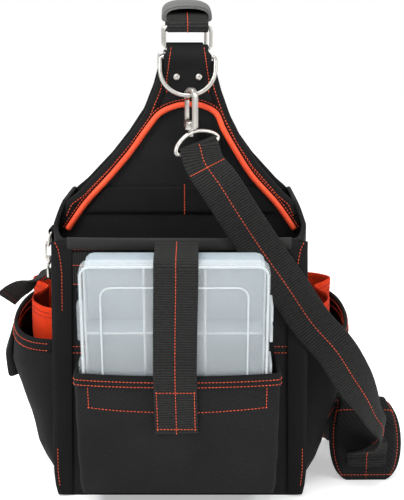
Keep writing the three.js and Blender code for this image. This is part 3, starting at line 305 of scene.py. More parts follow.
trayPlastic = hardMaterial("trayPlastic", (0.46, 0.53, 0.57), (0.38, 0.45, 0.5), 0.4, alpha=0.66)
frostedEdge = hardMaterial("frostedEdge", (0.7, 0.745, 0.76), (0.62, 0.67, 0.69), 0.42, alpha=0.62)
print("materials ready")


def unit(vectors):
    return vectors / np.maximum(np.linalg.norm(vectors, axis=-1, keepdims=True), 1e-9)


# Straight lines between the rows of a table of (place, size).
def lookUp(value, table):
    table = np.array(table, float)
    return np.interp(value, table[:, 0], table[:, 1])


# The lengths run along a line of points, from 0 at its start.
def lengthsOf(points):
    return np.concatenate(([0], np.cumsum(np.linalg.norm(np.diff(points[:, :3], axis=0), axis=1))))


# A curve through points: cubic pieces by the root of chord length, with slopes from the neighbours.
def smoothPath(points, count):
    points = np.array(points, float)
    steps = np.maximum(np.linalg.norm(np.diff(points[:, :3], axis=0), axis=1), 1e-6) ** 0.5
    knots = np.concatenate(([0], np.cumsum(steps)))
    slopes = np.gradient(points, knots, axis=0)
    where = np.linspace(0, knots[-1], count)
    i = np.clip(np.searchsorted(knots, where, side="right") - 1, 0, len(points) - 2)
    width = (knots[i + 1] - knots[i])[:, None]
    t = (where - knots[i])[:, None] / width
    return (
        (2 * t**3 - 3 * t**2 + 1) * points[i]
        + (t**3 - 2 * t**2 + t) * width * slopes[i]
        + (3 * t**2 - 2 * t**3) * points[i + 1]
        + (t**3 - t**2) * width * slopes[i + 1]
    )


# The same curve with its points at even lengths.
def evenPath(points, step):
    lengths = lengthsOf(points)
    where = np.linspace(0, lengths[-1], max(2, int(round(lengths[-1] / step)) + 1))
    return np.stack([np.interp(where, lengths, points[:, k]) for k in range(points.shape[1])], 1)


# A closed line with its points at even lengths.
def evenLoop(points, step):
    return evenPath(np.concatenate((points, points[:1])), step)[:-1]


# Points that share a place in x or y: the two given parts and one fixed value.
def flatLine(rows, x=None, y=None):
    rows = np.array(rows, float)
    fixed = np.full(len(rows), x if y is None else y)
    return np.stack((fixed, rows[:, 0], rows[:, 1]) if y is None else (rows[:, 0], fixed, rows[:, 1]), 1)


# Normals of a grid: the cross product of its slopes along rows and columns.
def gridNormals(points, wrap=False):
    ahead = np.roll(points, -1, axis=1) - np.roll(points, 1, axis=1) if wrap else np.gradient(points, axis=1)
    return unit(np.cross(ahead, np.gradient(points, axis=0)))


# Points between a grid's own points, by two straight blends.
def sampleGrid(grid, rows, cols):
    rows = np.clip(rows, 0, grid.shape[0] - 1.0001)
    cols = np.clip(cols, 0, grid.shape[1] - 1.0001)
    i, j = rows.astype(int), cols.astype(int)
    a, b = (rows - i)[..., None], (cols - j)[..., None]
    low = grid[i, j] * (1 - b) + grid[i, j + 1] * b
    high = grid[i + 1, j] * (1 - b) + grid[i + 1, j + 1] * b
    return low * (1 - a) + high * a


def addPiece(name, mesh):
    mesh.shade_smooth()
    piece = bpy.data.objects.new(name, mesh)
    bpy.context.scene.collection.objects.link(piece)
    return piece


# A mesh whose faces are turned outwards.
def meshPiece(name, vertices, faces, material, uv=None):
    mesh = bpy.data.meshes.new(name)
    mesh.from_pydata((vertices * metre).tolist(), [], faces)
    if uv is not None:
        layer = mesh.uv_layers.new(name="surface")
        layer.data.foreach_set("uv", (uv * metre).astype(np.float32).ravel())
    tidy = bmesh.new()
    tidy.from_mesh(mesh)
    bmesh.ops.recalc_face_normals(tidy, faces=tidy.faces)
    tidy.to_mesh(mesh)
    tidy.free()
    mesh.materials.append(material)
    return addPiece(name, mesh)


def settle(piece, node=None, body="bag"):
    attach(piece, body)
    if node:
        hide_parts(node)
    return piece


# A piece over a grid of points; wrap joins the last column to the first. wrapRows joins the last row
# to the first, and otherwise a fan closes each end row. The UV map is in metres on the surface.
def gridPiece(name, node, points, material, wrap=True, wrapRows=False, surface=None):
    m, n = points.shape[:2]
    rows, cols = np.arange(m if wrapRows else m - 1), np.arange(n if wrap else n - 1)
    i, j = np.meshgrid(rows, cols, indexing="ij")
    k, h = (j + 1) % n, (i + 1) % m
    faces = np.stack([i * n + j, i * n + k, h * n + k, h * n + j], -1).reshape(-1, 4).tolist()
    if surface is None:
        ring = np.concatenate((points, points[:, :1]), 1) if wrap else points
        u = np.cumsum(np.linalg.norm(np.diff(ring, axis=1), axis=2).mean(0))
        v = np.cumsum(np.linalg.norm(np.diff(points, axis=0), axis=2).mean(1))
        surface = np.stack(np.meshgrid(np.concatenate(([0], u)), np.concatenate(([0], v))), -1)
    else:
        surface = np.concatenate((surface, surface[:, :1]), 1)
    surface = np.concatenate((surface, surface[-1:]))
    uv = [surface[i, j], surface[i, j + 1], surface[i + 1, j + 1], surface[i + 1, j]]
    uv = np.stack(uv, 2).reshape(-1, 2)
    vertices = points.reshape(-1, 3)
    for row in () if wrapRows else (0, m - 1):
        middle = np.full(n, len(vertices))
        vertices = np.vstack((vertices, points[row].mean(0)))
        a, b = row * n + np.arange(n), row * n + (np.arange(n) + 1) % n
        fan = np.stack([a, b, middle] if row else [b, a, middle], 1)
        faces += fan.tolist()
        uv = np.vstack((uv, vertices[fan][:, :, :2].reshape(-1, 2)))
    return settle(meshPiece(name, vertices, faces, material, uv), node)


# A sheet with a wall: the grid, a rounded rim, and the same grid set back along its normals.
def wallPiece(name, node, points, material, wall):
    normals = gridNormals(points)
    inner = points - normals * wall
    lip = (points[-1] + inner[-1]) / 2 + unit(points[-1] - points[-2]) * wall * 0.35
    rows = np.concatenate((points, lip[None], inner[::-1]), 0)
    gridPiece(name, node, rows, material, wrap=False, wrapRows=True)
    return normals


# The directions along a path, to its side and up from it.
def directions(path, across, closed=False):
    ahead = np.roll(path, -1, axis=0) - np.roll(path, 1, axis=0) if closed else np.gradient(path, axis=0)
    along = unit(ahead)
    side = unit(across - (across * along).sum(1, keepdims=True) * along)
    return along, side, np.cross(along, side)


# A section of (across, proud) points carried along a path: each ring is the path's point plus the
# section's two parts along the side and the up direction there.
def carry(section, path, across, closed=False):
    _, side, up = directions(path, across, closed)
    section = np.array(section, float)
    return path[:, None] + section[..., :1] * side[:, None] + section[..., 1:] * up[:, None]


# A flat section with round edges, from its right edge over the top and back underneath.
def strapSection(width, thick, faces=8):
    half, round_ = width / 2 - thick / 2, thick / 2
    turn = np.linspace(0, math.pi, 5)[1:-1]
    left = np.stack((-half - np.sin(turn) * round_, np.cos(turn) * round_), 1)
    top = np.stack((np.linspace(half, -half, faces), np.full(faces, round_)), 1)
    return np.concatenate((top, left, -top, -left), 0)


# A strap along a path. Each rib is a sine wave in its thickness along the length.
def strapPiece(
    name, node, path, across, size, material, ribs=2.4, relief=0.22, wide=None, step=None
):
    across = np.broadcast_to(np.asarray(across, float), path.shape)
    wide = np.ones(len(path)) if wide is None else wide
    even = evenPath(np.concatenate((path, across, wide[:, None]), 1), step or ribs / 4)
    path, across, wide = even[:, :3], even[:, 3:6], even[:, 6:]
    lengths = lengthsOf(path)[:, None]
    section = strapSection(*size)
    sections = np.repeat(section[None], len(path), 0)
    if ribs:
        wave = np.sin(2 * math.pi * lengths / ribs)
        inside = np.abs(section[:, 0]) < size[0] / 2 - 1.6
        sections[:, :, 1] += np.sign(section[:, 1]) * relief * 0.5 * wave * inside
        sections[:, :, 0] += np.sign(section[:, 0]) * 0.12 * wave * ~inside
    sections[:, :, 0] *= wide
    surface = np.stack((section[:, 0] * wide, lengths + 0 * section[:, 0]), -1)
    gridPiece(name, node, carry(sections, path, across), material, surface=surface)
    return path, across


# A round wire along a path; a closed one joins its ends.
def tubePiece(name, node, path, across, radius, material, sides=14, closed=False):
    turn = np.linspace(0, 2 * math.pi, sides, endpoint=False)
    section = np.stack((np.cos(turn), np.sin(turn)), 1)[None] * radius
    rings = carry(section, path, np.broadcast_to(np.asarray(across, float), path.shape), closed)
    gridPiece(name, node, rings, material, wrapRows=closed)


# A rigid node with its edges eased: merged, then bevelled where faces meet at an angle.
def hardCopy(name, node, material, width, body="bag", segments=2):
    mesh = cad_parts[node].data.copy()
    tidy = bmesh.new()
    tidy.from_mesh(mesh)
    bmesh.ops.remove_doubles(tidy, verts=tidy.verts, dist=0.00001)
    bmesh.ops.dissolve_limit(tidy, angle_limit=0.02, verts=tidy.verts, edges=tidy.edges)
    tidy.to_mesh(mesh)
    tidy.free()
    mesh.materials.clear()
    mesh.materials.append(material)
    piece = addPiece(name, mesh)
    bevel = piece.modifiers.new("eased", "BEVEL")
    bevel.width = width * metre
    bevel.segments = segments
    bevel.limit_method = "ANGLE"
    bevel.angle_limit = math.radians(28)
    bevel.harden_normals = True
    settle(piece, node, body)


stitch = {"pitch": 3.1, "length": 2.1, "width": 0.75, "rise": 0.28, "sides": 5}
stitchRings = np.array([(-0.5, 0.25), (-0.38, 0.8), (0.0, 1.0), (0.38, 0.8), (0.5, 0.25)])  # along, size
stitchRows = {}  # rows waiting for a piece, by the piece's name


# Keeps a row of stitches, at even lengths along the path: each ring is a flattened circle.
def sewRow(piece, path, normals, pitch=stitch["pitch"], length=stitch["length"], width=stitch["width"]):
    both = np.concatenate((path, np.broadcast_to(np.asarray(normals, float), path.shape)), 1)
    both = evenPath(both, pitch)
    places, up = both[:, :3], unit(both[:, 3:6])
    along = unit(np.gradient(places, axis=0))
    side = unit(np.cross(along, up))
    turn = np.linspace(0, 2 * math.pi, stitch["sides"], endpoint=False)[None]
    where, size = stitchRings[:, :1], stitchRings[:, 1:]
    proud = size * np.sin(turn) * width / 2 * 0.8 + stitch["rise"] * (size - 0.6)
    local = np.stack((where * length + 0 * turn, size * np.cos(turn) * width / 2, proud), -1)
    axes = np.stack((along, side, up), 1)
    stitchRows.setdefault(piece, []).append(places[:, None, None] + np.einsum("rsk,pkx->prsx", local, axes))


# A row of stitches along row and column numbers of a grid.
def sewOn(piece, grid, normals, rows, cols, lift=0.15, **more):
    rows, cols = np.broadcast_arrays(np.asarray(rows, float), np.asarray(cols, float))
    facing = unit(sampleGrid(normals, rows, cols))
    sewRow(piece, sampleGrid(grid, rows, cols) + facing * lift, facing, **more)


# All waiting rows of one name become one piece: a short tube with closed ends for each stitch.
def stitchPiece(name, material=orangeThread):
    points = np.concatenate(stitchRows.pop(name))
    count, rings, sides = points.shape[:3]
    i, j = np.meshgrid(np.arange(rings - 1), np.arange(sides), indexing="ij")
    k = (j + 1) % sides
    quads = [i * sides + j, i * sides + k, (i + 1) * sides + k, (i + 1) * sides + j]
    step = (np.arange(count) * rings * sides)[:, None]
    faces = (np.stack(quads, -1).reshape(-1, 4)[None] + step[..., None]).reshape(-1, 4).tolist()
    first = (np.arange(sides)[::-1][None] + step).tolist()
    last = ((rings - 1) * sides + np.arange(sides)[None] + step).tolist()
    settle(meshPiece(name, points.reshape(-1, 3), faces + first + last, material))


# Soft waves for cloth: three crossed sine waves of different lengths.
def ripple(first, second, size, scale, seed=0.0):
    a, b = first / scale + seed, second / scale - seed
    return size * (
        0.5 * np.sin(a * 1.9 + 1.3 * np.sin(b * 1.1 + seed))
        + 0.3 * np.sin(b * 2.7 + 1.7 * np.sin(a * 0.8))
        + 0.2 * np.sin(a * 4.1 + b * 3.3)
    )


buildStudio()

bag = {
    "halfDepth": 85,
    "footHalf": 111,
    "topHalf": 107.25,
    "panelHeight": 245,
    "rimHeight": 275,
    "swell": 11,
    "wall": 3,
    "floor": 4,
    "hem": 9,
    "hemThick": 1.1,
    "acrossCols": 44,
    "backCols": 36,
}
sideBow = (
    (0, 0), (0.04, 0.35), (0.1, 0.7), (0.2, 0.95), (0.35, 1), (0.5, 1), (0.65, 1), (0.8, 0.95),
    (0.9, 0.7), (0.96, 0.35), (1, 0),
)
sideFlare = ((0, 0.25), (0.45, 0.6), (0.8, 0.95), (0.891, 0.99), (0.925, 1), (1, 0.1))
rimRise = ((0, 275), (0.6, 275), (0.66, 271), (0.75, 257), (0.85, 248), (0.92, 245.5), (1, 245))


# The panel's half width narrows in a straight line up to the panel's height.
def panelHalf(z):
    return bag["footHalf"] + (bag["topHalf"] - bag["footHalf"]) * np.minimum(z / bag["panelHeight"], 1)


# The side wall stands out from the panel's half width by swell, times its flare, times its bow.
def bodyHalf(y, z):
    along = (np.asarray(y) + bag["halfDepth"]) / (2 * bag["halfDepth"])
    swell = bag["swell"] * lookUp(np.asarray(z) / bag["rimHeight"], sideFlare)
    return panelHalf(np.asarray(z)) + swell * lookUp(along, sideBow)


# The four walls as one ring of columns: x and y run round the outline, z up to the rim.
def bodyWallGrid(inset, foot, rows=46):
    m, n = bag["acrossCols"], bag["backCols"]
    across = np.linspace(-1, 1, m, endpoint=False)
    back = np.linspace(0, 1, n, endpoint=False)
    side = np.concatenate((np.full(m, -1), -1 + 2 * back, np.full(m, 1), 1 - 2 * back))  # y over the half depth
    width = np.concatenate((across, np.full(n, 1), -across, np.full(n, -1)))  # x over the half width
    y = side * (bag["halfDepth"] - inset)
    rim = lookUp(np.abs(side), rimRise) - 0.8 * (np.abs(side) == 1) * (1 - width**2)
    up = np.linspace(0, 1, rows)[:, None] ** 0.9
    z = foot + up * (rim - foot)
    x = width * (bodyHalf(side * bag["halfDepth"] + 0 * z, z) - inset)
    points = np.stack((x, y + 0 * z, z), -1)
    calm = np.sin(np.clip((z - foot) / (rim - foot), 0, 1) * math.pi)
    onSide = (np.abs(width) == 1) & (np.abs(side) < 0.97)
    onBack = (side == 1) & (np.abs(width) < 0.95)
    onFront = (side == -1) & (np.abs(width) < 0.95)
    points[..., 0] += width * onSide * calm * ripple(y, z, 1.2, 34, 2.0) * 0.7
    points[..., 1] += onBack * calm * (1.2 + ripple(x, z, 1.4, 36, 5.0)) * 0.8
    points[..., 1] += onFront * calm * 0.5 * np.abs(ripple(x, z, 1, 30, 1.0))
    return points, rim


outerWall, outerRim = bodyWallGrid(0, 0.4)
innerWall, _ = bodyWallGrid(bag["wall"], bag["floor"])
hemShare = np.clip((outerWall[..., 2] - (outerRim - bag["hem"])) / 2.0, 0, 1)
hemmed = outerWall + gridNormals(outerWall, wrap=True) * (hemShare * bag["hemThick"])[..., None]
bodyLip = (outerWall[-1] + innerWall[-1]) / 2 + np.array((0, 0, 0.9))
under = np.array([outerWall[0] * np.array((share, share, 0)) for share in (0.3, 0.7, 0.97, 0.995)])
floorRows = np.array([innerWall[0] * np.array((share, share, 1)) for share in (0.97, 0.7, 0.3)])
bodyRows = np.concatenate((under, hemmed, bodyLip[None], innerWall[::-1], floorRows), 0)
gridPiece("bag_body", "body_shell", bodyRows, blackCloth)


# A level row of stitches on the front (side -1) or rear panel.
def sewPanel(z, low, high, side=-1, off=0.3):
    x = np.linspace(low, high, 90)
    path = np.stack((x, np.full(90, side * (bag["halfDepth"] + off)), np.full(90, z)), 1)
    sewRow("stitches_panel", path, (0, side, 0))


for side in (-1, 1):
    sewPanel(235.5, -101, 101, side, off=0.8)
for z in (144.5, 138.5):
    sewPanel(z, -101, -88)
    sewPanel(z, 88, 101)

# the tape over the rim: a section of (out, up) points, hung along the panel's top edge
rimTape = (
    (0.1, -9.6), (1.2, -9.0), (1.5, -4), (1.3, -0.6), (0.4, 0.9), (-1.5, 1.5), (-3.3, 0.9), (-4.2, -0.6),
    (-4.3, -8), (-3.1, -8.4), (-3.1, 0.2), (-0.1, 0.2),
)
for label, side in (("front", -1), ("rear", 1)):
    x = np.linspace(-102, 102, 60)
    sag = 245.3 - 0.8 * (1 - (x / 107) ** 2)
    face = bag["halfDepth"] + bag["hemThick"]
    rings = [np.stack((x, 0 * x + side * (face + off), sag + rise), 1) for off, rise in rimTape]
    gridPiece(f"rim_tape_{label}", None, np.stack(rings, 1), rimCloth)

edge = {
    "front": 10,
    "side": 10,
    "thick": 2.6,
    "low": 1.5,
    "high": 243,
    "spread": 0.17,  # share of the outline that the fold takes
    "reach": ((0, 1.0), (10, 3.6), (25, 5.6), (100, 6.4), (243, 7.0)),  # how far the fold stands out
    "top": ((180, 5.3), (213, 5.3), (226, 5.7), (236, 6.3), (242, 7.1)),  # the stitches' column by height
    "footColumn": 7.0,
}


# Outline points from the panel round the corner to the side, pushed out by a half sine, with a fold
# that stands out by its reach times exp(-((share - 0.5) / spread)^2).
def cornerBinding(name, node, signX, signY):
    z = np.linspace(edge["low"], edge["high"], 60)[:, None]
    front = np.linspace(-edge["front"], 0, 9)[None]
    back = np.linspace(0, edge["side"], 9)[None, 1:]
    x = np.concatenate((panelHalf(z) + front, bodyHalf(-bag["halfDepth"] + back, z)), 1)
    y = np.concatenate((-bag["halfDepth"] + 0 * (z + front), -bag["halfDepth"] + back + 0 * z), 1)
    base = np.stack((x, y, z + 0 * x), -1)
    slope = unit(np.gradient(base[..., :2], axis=1))
    normal = np.stack((slope[..., 1], -slope[..., 0], 0 * slope[..., 0]), -1)
    span = np.linspace(0, 1, base.shape[1])[None, :, None]
    bulge = edge["thick"] * (0.55 + 0.45 * np.sin(span * math.pi)) + ripple(z, z * 0, 0.2, 12)[..., None]
    fold = lookUp(z[:, 0], edge["reach"])[:, None, None] * np.exp(-(((span - 0.5) / edge["spread"]) ** 2))
    outer = base + normal * (bulge + 0.3) + fold * np.array((1.0, -0.1, 0))
    inner = base + normal * 0.3
    turned = np.array((signX, -signY, 1))
    gridPiece(name, node, np.concatenate((outer, inner[:, ::-1]), 1) * turned, tapeCloth)
    high, low = np.linspace(180, 241.5, 48), np.linspace(12, 46, 24)
    for height, column in ((high, lookUp(high, edge["top"])), (low, edge["footColumn"])):
        row = (height - edge["low"]) / (edge["high"] - edge["low"]) * (len(outer) - 1)
        sewOn("stitches_corner", outer * turned, gridNormals(outer) * turned, row, column, lift=0.2)


for front, signY in (("front", -1), ("rear", 1)):
    for side, signX in (("left", -1), ("right", 1)):
        cornerBinding(f"binding_{front}_{side}", f"corner_binding_{front}_{side}", signX, signY)

# a band of webbing sewn across the front panel, behind the parts box
panelBand = {"middle": 217.5, "half": 97.2, "size": (31, 1.0)}
bandX = np.linspace(-panelBand["half"], panelBand["half"], 60)
bandPath = np.stack((bandX, np.full(60, -bag["halfDepth"] - 0.85), np.full(60, panelBand["middle"])), 1)
strapPiece("panel_band", None, bandPath, (0, 0, 1), panelBand["size"], ribbedStrap)
for z in (221.0, 203.5):
    sewPanel(z, -96, 96, off=1.55)
stitchPiece("stitches_panel")
stitchPiece("stitches_corner")
print("body ready")

wings = {
    "plane": 50,
    "thick": 4,
    "shoulder": 274,
    "top": 404,
    "neckHalf": 22.1,
    "frontShift": 7.5,
    "rearShift": 3,
    "foot": 4.35,
    "inset": 4.15,  # from the body's outside to the wing's edge
    "lap": 9,
    "lapThick": 1.0,
}
wingHalf = ((0, 1), (0.07, 0.869), (0.274, 0.569), (0.44, 0.371), (0.616, 0.199), (0.794, 0.09), (1, 0))
wingLean = ((0, 0), (0.07, 0.1), (0.274, 0.27), (0.44, 0.53), (0.616, 0.87), (0.794, 0.97), (1, 1))


# The wing's edge as a smooth line: inside the walls below the shoulder, drawn in above it.
def wingEdge(y, shift, side, low, count):
    z = np.linspace(low, wings["top"], 40)
    rise = np.clip((z - wings["shoulder"]) / (wings["top"] - wings["shoulder"]), 0, 1)
    inside = bodyHalf(y, np.minimum(z, wings["shoulder"])) - wings["inset"]
    widest = bodyHalf(y, wings["shoulder"]) - wings["inset"]
    above = wings["neckHalf"] + (widest - wings["neckHalf"]) * lookUp(rise, wingHalf)
    half = np.where(z < wings["shoulder"], inside, above)
    x = side * half + shift * lookUp(rise, wingLean)
    return smoothPath(np.stack((x, np.full(40, y), z), 1), count)


# A wing is two faces that dip a little towards each other, with a lapped binding on each edge.
def buildWing(name, node, y, shift):
    z = np.linspace(wings["foot"], wings["top"], 120)[:, None]
    left, right = (wingEdge(y, shift, side, wings["foot"], 120) for side in (-1, 1))
    xl, xr = (np.interp(z, line[:, 2], line[:, 0]) for line in (left, right))
    span = np.linspace(0, 1, 34)[None]
    x = xl + (xr - xl) * span
    calm = np.sin(span * math.pi) * np.clip((z - 20) / 40, 0, 1) * np.clip((400 - z) / 60, 0, 1)
    dip = 0.5 * calm * (1 + ripple(x, z, 1, 40, 3.0))
    half = wings["thick"] / 2
    front = np.stack((x, y - half + dip, z + 0 * x), -1)
    back = np.stack((x, y + half - dip * 0.6, z + 0 * x), -1)
    outL, outR = (np.stack((out, y + 0 * z, z), -1) for out in (xl - 0.5, xr + 0.5))
    gridPiece(name, node, np.concatenate((front, outR, back[:, ::-1], outL), 1), blackCloth)
    thick = wings["lapThick"]
    for side, label in ((-1, "left"), (1, "right")):
        line = wingEdge(y, shift, side, 262, 90)
        slope = np.gradient(line[:, 0]) / np.gradient(line[:, 2])
        reach = side * wings["lap"] * np.sqrt(1 + np.minimum(slope**2, 4))
        out = side * (thick + 0.4) * np.sqrt(1 + slope**2)
        near = (  # from the edge's middle over one face, as (in along the wing, out from the middle)
            (out * 0.8, half * 0.6), (0, half + thick * 0.9), (-reach * 0.5, half + thick),
            (-reach, half + thick * 0.7), (-reach, half + 0.12),
        )
        offsets = [(x, -y) for x, y in near[::-1]] + [(out, 0)] + list(near)
        offsets += [(out * 0.1, half + 0.12), (side * 0.55, 0), (out * 0.1, -half - 0.12)]
        rings = [np.stack((line[:, 0] + px, 0 * out + y + py, line[:, 2]), 1) for px, py in offsets]
        gridPiece(f"{name}_binding_{label}", None, np.stack(rings, 1), tapeCloth)
        for face in (-1, 1):
            path = (line[:, 0] - reach * 0.5, 0 * out + y + face * (half + thick + 0.25), line[:, 2])
            sewRow("stitches_wing", np.stack(path, 1)[:84], (0, face, 0))


buildWing("wing_front", "front_wing", -wings["plane"], wings["frontShift"])
buildWing("wing_rear", "rear_wing", wings["plane"], wings["rearShift"])

# piping in an arch on the front wing, with a row of stitches outside it
piping = {"radius": 2.6, "foot": 249, "top": 364.9, "shift": 9.5, "gap": 0.35}
pipingRows = np.array((  # rise, half width, lean
    (0, 0.985, 0.1), (0.21, 0.825, 0.1), (0.426, 0.614, 0.12), (0.611, 0.463, 0.34),
    (0.807, 0.325, 0.53), (0.928, 0.24, 0.8), (0.985, 0.12, 0.95), (1, 0, 1),
))
wingFace = -wings["plane"] - wings["thick"] / 2


# The arch's line, grown outwards in its plane.
def archLine(grow=0.0, y=wingFace - piping["gap"] - piping["radius"]):
    rise, half, lean = pipingRows.T
    z = piping["foot"] + rise * (piping["top"] - piping["foot"])
    left, right = (
        np.stack((piping["shift"] * lean + side * half * bag["topHalf"], 0 * z + y, z), 1) for side in (-1, 1)
    )
    line = smoothPath(np.concatenate((left, right[::-1][1:])), 220)
    along = unit(np.gradient(line, axis=0))
    return line + np.stack((-along[:, 2], 0 * along[:, 0], along[:, 0]), 1) * grow


tubePiece("piping", "front_piping", archLine(), (0, 1, 0), piping["radius"], orangeCord)
sewRow("stitches_wing", archLine(4.3, wingFace - 0.7), (0, -1, 0), pitch=3.0)
weltLine = archLine(3.2, wingFace - 0.12)
weltAlong = unit(np.gradient(weltLine, axis=0))
weltAcross = np.stack((weltAlong[:, 2], 0 * weltAlong[:, 0], -weltAlong[:, 0]), 1)
weltSection = ((-3.6, -0.1), (3.6, -0.1), (3.6, 0.25), (0, 0.35), (-3.6, 0.25))
gridPiece("piping_welt", None, carry([weltSection], weltLine, weltAcross), tapeCloth)

# elastic tool band with a bar of stitches in its middle, where it is pinched flat
elastic = {"middle": 276.5, "width": 25, "thick": 1.3, "tack": 4.3, "pinch": 9}


def bandEnd(side, z):
    rise = (z - piping["foot"]) / (piping["top"] - piping["foot"])
    half = bag["topHalf"] * np.interp(rise, pipingRows[:, 0], pipingRows[:, 1]) - 2.2 * piping["radius"]
    return piping["shift"] * np.interp(rise, pipingRows[:, 0], pipingRows[:, 2]) + side * half


bandZ = elastic["middle"] + np.linspace(-0.5, 0.5, 9)[None] * elastic["width"]
bandShare = np.linspace(0, 1, 70)[:, None]
bandX = bandEnd(-1, bandZ) * (1 - bandShare) + bandEnd(1, bandZ) * bandShare
pinch = 1 - np.exp(-(((bandX - elastic["tack"]) / elastic["pinch"]) ** 2))
bandY = wingFace - 0.45 - elastic["thick"] * (0.45 + 0.55 * pinch)
bandFront, bandBack = (
    np.stack((bandX, y + 0 * bandX, bandZ + 0 * bandX), -1) for y in (bandY, wingFace - 0.4)
)
gridPiece("tool_band", "elastic_band", np.concatenate((bandFront, bandBack[:, ::-1]), 1), tapeCloth)
tackZ = np.linspace(elastic["middle"] - 12.5, elastic["middle"] + 13.5, 20)
tack = np.stack((0 * tackZ + elastic["tack"], 0 * tackZ + wingFace - 1.15, tackZ), 1)
sewRow("stitches_wing", tack, (0, -1, 0), pitch=2.5, length=2.3, width=0.9)
stitchPiece("stitches_wing")
print("wings ready")

pocket = {
    "shift": -1,
    "half": 90,
    "rim": 136,
    "wall": 2,
    "round": 6,
    "footBack": 8,
    "slope": 0.255,
    "tape": 12,
}
partsBox = {
    "width": 163,
    "length": 222,
    "thick": 36,
    "lean": math.radians(12),
    "shift": -3,
    "standOff": 6.6,
    "ease": 1.2,
}
pocketSide = ((0, 0.88), (0.08, 0.96), (0.16, 0.985), (0.5, 0.99), (1, 1))
leanSin, leanCos = math.sin(partsBox["lean"]), math.cos(partsBox["lean"])
boxFrontFoot = -bag["halfDepth"] - partsBox["standOff"] - partsBox["thick"] * leanCos


def pocketFloor(y, lift=0.0):
    return pocket["footBack"] + lift - pocket["slope"] * (y + bag["halfDepth"])


boxLowest = pocketFloor(boxFrontFoot, 1.1 * pocket["wall"] + 0.35)
boxFoot = np.array(
    (partsBox["shift"], -bag["halfDepth"] - partsBox["standOff"], boxLowest + partsBox["thick"] * leanSin)
)


# A point of the parts box, from its own frame: front is the distance out from its back.
def boxPoint(x, front, z):
    x, front, z = np.broadcast_arrays(*(np.asarray(value, float) for value in (x, front, z)))
    return np.stack((x, -front * leanCos - z * leanSin, -front * leanSin + z * leanCos), -1) + boxFoot


# The pocket's front face leans with the box, at its ease and wall.
def pocketFace(z):
    return boxFrontFoot - (z - boxLowest) * leanSin / leanCos - (partsBox["ease"] + pocket["wall"]) / leanCos


# Columns run from the left root round the front to the right root, rows from the floor to the rim.
def pocketGrid():
    sides, corners, fronts, rows = 14, 7, 61, 40
    rest = fronts + 2 * corners
    run = np.linspace(0, 1, sides, endpoint=False)
    along = np.concatenate((run, np.ones(rest), np.linspace(1, 0, sides + 1)[1:]))
    turn = np.linspace(0, math.pi / 2, corners + 2)[1:-1]
    insetX, insetY = (
        np.concatenate((np.zeros(sides), part, np.zeros(fronts), part[::-1], np.zeros(sides)))
        for part in ((1 - np.cos(turn)) * pocket["round"], (1 - np.sin(turn)) * pocket["round"])
    )
    end = np.ones(sides + corners)
    place = np.concatenate((-end, np.linspace(-1, 1, fronts), end))
    inFront = np.concatenate((0 * end, np.ones(fronts), 0 * end))
    up = np.linspace(0, 1, rows)[:, None]
    rim = pocket["rim"] + 1.2 * np.abs(place) ** 3 - 1.6 * (1 - place**2) * inFront
    z = pocket["footBack"] + up * (rim - pocket["footBack"])
    back = -bag["halfDepth"] - 0.5
    for _ in range(3):  # the floor's height and the face depend on each other
        rise = (z - pocket["footBack"]) / (pocket["rim"] - pocket["footBack"])
        half = pocket["half"] * lookUp(rise, pocketSide)
        face = pocketFace(z)
        y = np.where(along < 1, back + (face + pocket["round"] - back) * along, face + insetY)
        foot = pocketFloor(y)
        z = foot + up * (rim - foot)
    x = place * np.where(inFront > 0, half - pocket["round"], half - insetX)
    belly = np.sin(up * math.pi) ** 0.8
    y = y - inFront * (1 - np.abs(place) ** 4) * belly * (0.8 + ripple(x, z, 1.0, 27, 4.0))
    x = x + place * (1 - inFront) * belly * np.clip(along * 2, 0, 1) * ripple(y, z, 0.8, 14, 1.0)
    return np.stack((x + pocket["shift"], y, z), -1)


pocketWall = pocketGrid()
floorShare = np.array((0.0, 0.25, 0.5, 0.75, 0.93))[:, None]
floorBack = -bag["halfDepth"] - 0.6
floorY = floorBack + (pocketWall[0, :, 1] - floorBack) * floorShare
pocketBase = np.stack((pocketWall[0, :, 0] * (0.9 + 0.1 * floorShare), floorY, pocketFloor(floorY)), -1)
pocketAll = np.concatenate((pocketBase, pocketWall), 0)
pocketNormals = wallPiece("box_pocket_cloth", "box_pocket", pocketAll, blackCloth, pocket["wall"])
pocketTop, pocketEnd = len(pocketAll) - 1, pocketAll.shape[1]
pocketPerMm = (len(pocketWall) - 1) / (pocket["rim"] - 18)


# Binding over a rim: a closed section of (drop below the rim, offset) pairs along the columns.
def bandOver(name, node, grid, normals, wall, drop, rowsPerMm, skip):
    pairs = np.array((
        (drop, 0.1), (drop, 1), (drop * 0.5, 1.2), (1, 1), (-0.9, 0.2), (-1.1, -wall / 2), (-0.9, -wall - 0.2),
        (1, -wall - 0.8), (drop * 0.5, -wall - 0.9), (drop, -wall - 0.7), (drop, -wall - 0.1),
        (0.2, -wall - 0.1), (0, 0.1),
    ))
    rows = grid.shape[0] - 1 - np.maximum(pairs[:, 0], 0) * rowsPerMm
    rowGrid, colGrid = np.meshgrid(rows, np.arange(skip, grid.shape[1] - skip, dtype=float))
    points = sampleGrid(grid, rowGrid, colGrid)
    points = points + unit(sampleGrid(normals, rowGrid, colGrid)) * pairs[None, :, 1:]
    points[..., 2] += np.maximum(-pairs[None, :, 0], 0)
    gridPiece(name, node, points, tapeCloth)


# A row of stitches on the pocket, by its drop below the rim.
def sewPocket(drop, cols, lift=0.2):
    sewOn("stitches_pocket", pocketAll, pocketNormals, pocketTop - drop * pocketPerMm, cols, lift=lift)


